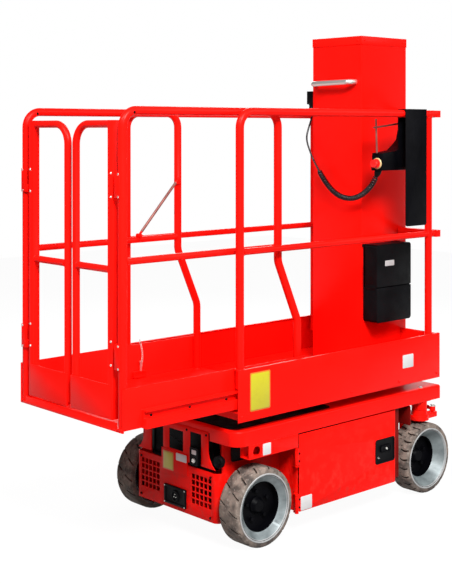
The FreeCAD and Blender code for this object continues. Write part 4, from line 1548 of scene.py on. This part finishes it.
@dataclass(frozen=True)
class ChassisFittings(Fittings):
    """The chassis's nuts and bolts, its mat and liners that paint shade black, its drive controller, and the
    battery's caps.
    """

    body: str = "chassis"
    cover_inset: tuple[float, float] = (15, 14)
    tray_bolt: tuple[float, float] = (745, 338)
    tie_rod_end: tuple[float, float] = (850.5, 321)
    knuckle_columns: tuple[float, ...] = (733, 778)
    knuckle_levels: tuple[float, ...] = (200, 290)
    first_cell: float = 60
    cell: float = 58
    cells: int = 6
    cell_y: float = 120
    post_columns: tuple[float, ...] = (40, 374)
    post_rows: tuple[float, ...] = (70, 286)

    def sheets(self) -> Iterator[Part]:
        """Gives the plates on and under the tray.

        Returns:
            The mat, the arches' liners, flanges and gussets, which are dark as painted shade, and the drive
            controller.
        """
        tray = limits("chassis_tray")[1][2]
        # Painted shade: a black mat on the tray's top where the platform shades it.
        yield Panel("tray_shade_mat", self.body, Finish.PLASTIC, (-92, 0, tray), UP, (560, 640, 3), 30, 0.6, 8, 1)
        for side in Side:
            tag, sign = side.tag, side.value
            # Painted shade: black liners on the nose walls over the front wheels.
            yield Panel(f"arch_liner_{tag}", self.body, Finish.PLASTIC, (-205, sign * 251, 352), side.out,
                        (230, 74, 3), 12, 0.6, 6, 1)
            # Painted shade: dark red flanges and gussets fill the rear arches' gaps.
            yield Panel(f"arch_flange_{tag}", self.body, Finish.SHADE, (573.5, sign * 336, 247), side.out,
                        (33, 300, 3), 3, 0.6)
            yield Panel(f"arch_gusset_{tag}", self.body, Finish.SHADE, (652, sign * 318, 355), FORE,
                        (76, 86, 4), 8, 0.8)
        yield Panel("drive_controller", self.body, Finish.PLASTIC, (-318, 0, 345), FORE, (372, 150, 40), 10,
                    1.5, 14, 4)

    def parts(self) -> Iterator[Part]:
        """Gives the parts one by one.

        Returns:
            The parts, in the order in which they are built.
        """
        low, high = limits("rear_cover")
        columns, levels = ((low[axis] + inset, high[axis] - inset)
                           for axis, inset in zip((1, 2), self.cover_inset))
        yield Fasteners("rear_cover_bolts", self.body, Finish.STEEL, Head.HEX, 6, 6,
                        grid(AFT, (high[0],), columns, levels))
        for name, body, node, (x, y), size in (
                ("tray_bolts", self.body, "chassis_tray", self.tray_bolt, (6.5, 6)),
                ("tie_rod_nuts", "tie_rod", "tie_rod", self.tie_rod_end, (9.5, 8))):
            places = grid(UP, (x,), (-y, y), (limits(node)[1][2],))
            yield Fasteners(name, body, Finish.STEEL, Head.HEX, *size, places)
        yield from self.sheets()
        top = limits("battery_pack")[1][2]
        for side in Side:
            tag, sign = side.tag, side.value
            inner = min(limits(f"knuckle_{tag}"), key=lambda corner: abs(corner[1]))[1]
            yield Fasteners(f"knuckle_bolts_{tag}", f"knuckle_{tag}", Finish.STEEL, Head.HEX, 6.5, 6,
                            grid(side.inwards, self.knuckle_columns, (inner,), self.knuckle_levels))
            columns = tuple(self.first_cell + self.cell * index for index in range(self.cells))
            caps = grid(UP, columns, (sign * self.cell_y,), (top,))
            yield Fasteners(f"battery_caps_{tag}", self.body, Finish.YELLOW, Head.BUTTON, 14, 8, caps)
            posts = grid(UP, self.post_columns, tuple(sign * y for y in self.post_rows), (top,))
            yield Fasteners(f"battery_posts_{tag}", self.body, Finish.STEEL, Head.HEX, 9, 16, posts)


@dataclass(frozen=True)
class Lamp:
    """A soft square lamp: where it hangs, where it points, its power in watts and its width."""

    name: str
    place: Triple
    aim: Triple
    power: float
    size: float

    def build(self) -> None:
        """Adds the lamp."""
        data = bpy.data.lights.new(self.name, "AREA")
        data.energy = self.power
        data.shape = "SQUARE"
        data.size = self.size
        lamp = bpy.data.objects.new(self.name, data)
        lamp.location = self.place
        lamp.rotation_euler = (Vector(self.aim) - Vector(self.place)).to_track_quat("-Z", "Y").to_euler()
        bpy.context.collection.objects.link(lamp)


@dataclass(frozen=True)
class Studio:
    """The camera, the lamps, the world and the pale floor."""

    camera_place: Triple = (-3.397, -3.592, 1.611)
    camera_tilt: float = 90 - 0.285
    camera_turn: float = -42.41
    lens: float = 72.33
    sensor: float = 36.0
    shift: float = -0.2706
    floor_reach: float = 9.0
    world_strength: float = 0.17
    lamps: tuple[Lamp, ...] = (
        Lamp("key_lamp", (-2.1, -4.0, 4.8), (0.1, 0, 0.8), 640.0, 1.8),
        Lamp("front_lamp", (-4.2, -0.7, 5.2), (-0.2, 0, 0.9), 260.0, 2.0),
        Lamp("side_lamp", (3.2, -4.2, 3.4), (0.3, 0, 0.8), 80.0, 3.0),
        Lamp("back_lamp", (3.8, 3.6, 3.2), (0, 0, 1.0), 150.0, 3.0))

    def camera(self) -> None:
        """Adds the camera."""
        data = bpy.data.cameras.new("camera")
        data.lens = self.lens
        data.sensor_width = self.sensor
        data.shift_y = self.shift
        camera = bpy.data.objects.new("camera", data)
        camera.location = self.camera_place
        camera.rotation_euler = (math.radians(self.camera_tilt), 0.0, math.radians(self.camera_turn))
        bpy.context.collection.objects.link(camera)
        bpy.context.scene.camera = camera

    def world(self) -> None:
        """Sets the world: plain light on the object and white behind it."""
        world = bpy.data.worlds.new("studio")
        bpy.context.scene.world = world
        bench = NodeBench(world)
        seen = bench.either("Is Camera Ray", "Is Transmission Ray")
        inputs = {"To Min": self.world_strength, "To Max": 1.0, "Value": seen}
        strength = bench.node("ShaderNodeMapRange", inputs, "Result")
        backdrop = bench.node("ShaderNodeBackground", {"Color": (1.0, 1.0, 1.0), "Strength": strength})
        bench.feed(bench.add("ShaderNodeOutputWorld").inputs["Surface"], backdrop)

    def build(self) -> None:
        """Builds the studio."""
        bpy.context.scene.view_settings.view_transform = "Standard"
        self.camera()
        self.world()
        for lamp in self.lamps:
            lamp.build()
        bpy.ops.object.select_all(action="DESELECT")
        bpy.ops.mesh.primitive_grid_add(x_subdivisions=4, y_subdivisions=4, size=2 * self.floor_reach)
        floor = Bench.named("studio_floor")
        floor.data.materials.append(StudioFloor("pale_floor").material())


SHELLS = (
    Shells(Finish.RED, 0.0014, ("chassis_tray",)),
    Shells(Finish.RED, 0.0010, ("chassis_frame", "tie_down_channels")),
    Shells(Finish.RED, 0.0009, ("nose_panel",), False),
    Shells(Finish.RED, 0.0010, ("cowl_panel",), False),
    Shells(Finish.RED, 0.0012, ("rear_cover", "door_near", "door_far", "knuckle_near", "knuckle_far")),
    Shells(Finish.RED, 0.0030, ("mast_base", "mast_middle")),
    Shells(Finish.RED, 0.0026, ("mast_box",), False),
    Shells(Finish.RED, 0.0012, ("platform_floor",), False),
    Shells(Finish.RED, 0.0014, ("platform_side_near", "platform_side_far"), False),
    Shells(Finish.RED, 0.0012, ("platform_rail_near", "platform_rail_far")),
    Shells(Finish.RED, 0.0014, ("roll_tray",), False),
    Shells(Finish.RED, 0.0012, ("roll_rail_near", "roll_rail_far", "gate_near", "gate_far")),
    Shells(Finish.PLASTIC, 0.0020, ("charger_inlet",)),
    Shells(Finish.BATTERY, 0.0060, ("battery_pack",)),
    Shells(Finish.BLACK, 0.0020, ("drive_motors",)),
    Shells(Finish.RED, 0.0012, ("tie_rod",)),
    Shells(Finish.STEEL, 0.0012, ("grab_bar",)),
    Shells(Finish.PLASTIC, 0.0016, ("document_box", "document_lid")),
    Shells(Finish.BLACK, 0.0018, ("control_bracket",)),
    Shells(Finish.BLACK, 0.0030, ("control_box",)),
    Shells(Finish.BUTTON, 0.0016, ("stop_button",)),
    Shells(Finish.PLASTIC, 0.0020, ("cord_socket",)),
    Shells(Finish.PLASTIC, 0.0008, ("cord_gland",)),
)


def main() -> None:
    """Builds every sub-assembly in order."""
    logging.basicConfig(level=logging.INFO, format="%(name)s: %(message)s")
    assemblies = [Studio(), *SHELLS, ControlLead()]
    for side in Side:
        assemblies += [Wheel("drive", side, 14, 0.020, 0.0, 0.095, 51, 56),
                       Wheel("steer", side, 24, 0.002, 0.005, 0.088, 74, 54),
                       DoorFittings(side), GuardFittings(side), GateFittings(side)]
    assemblies += [NoseFittings(), MastFittings(), ControlStation(), ChassisFittings(), DeckFittings()]
    for assembly in assemblies:
        assembly.build()


if __name__ == "__main__":
    main()
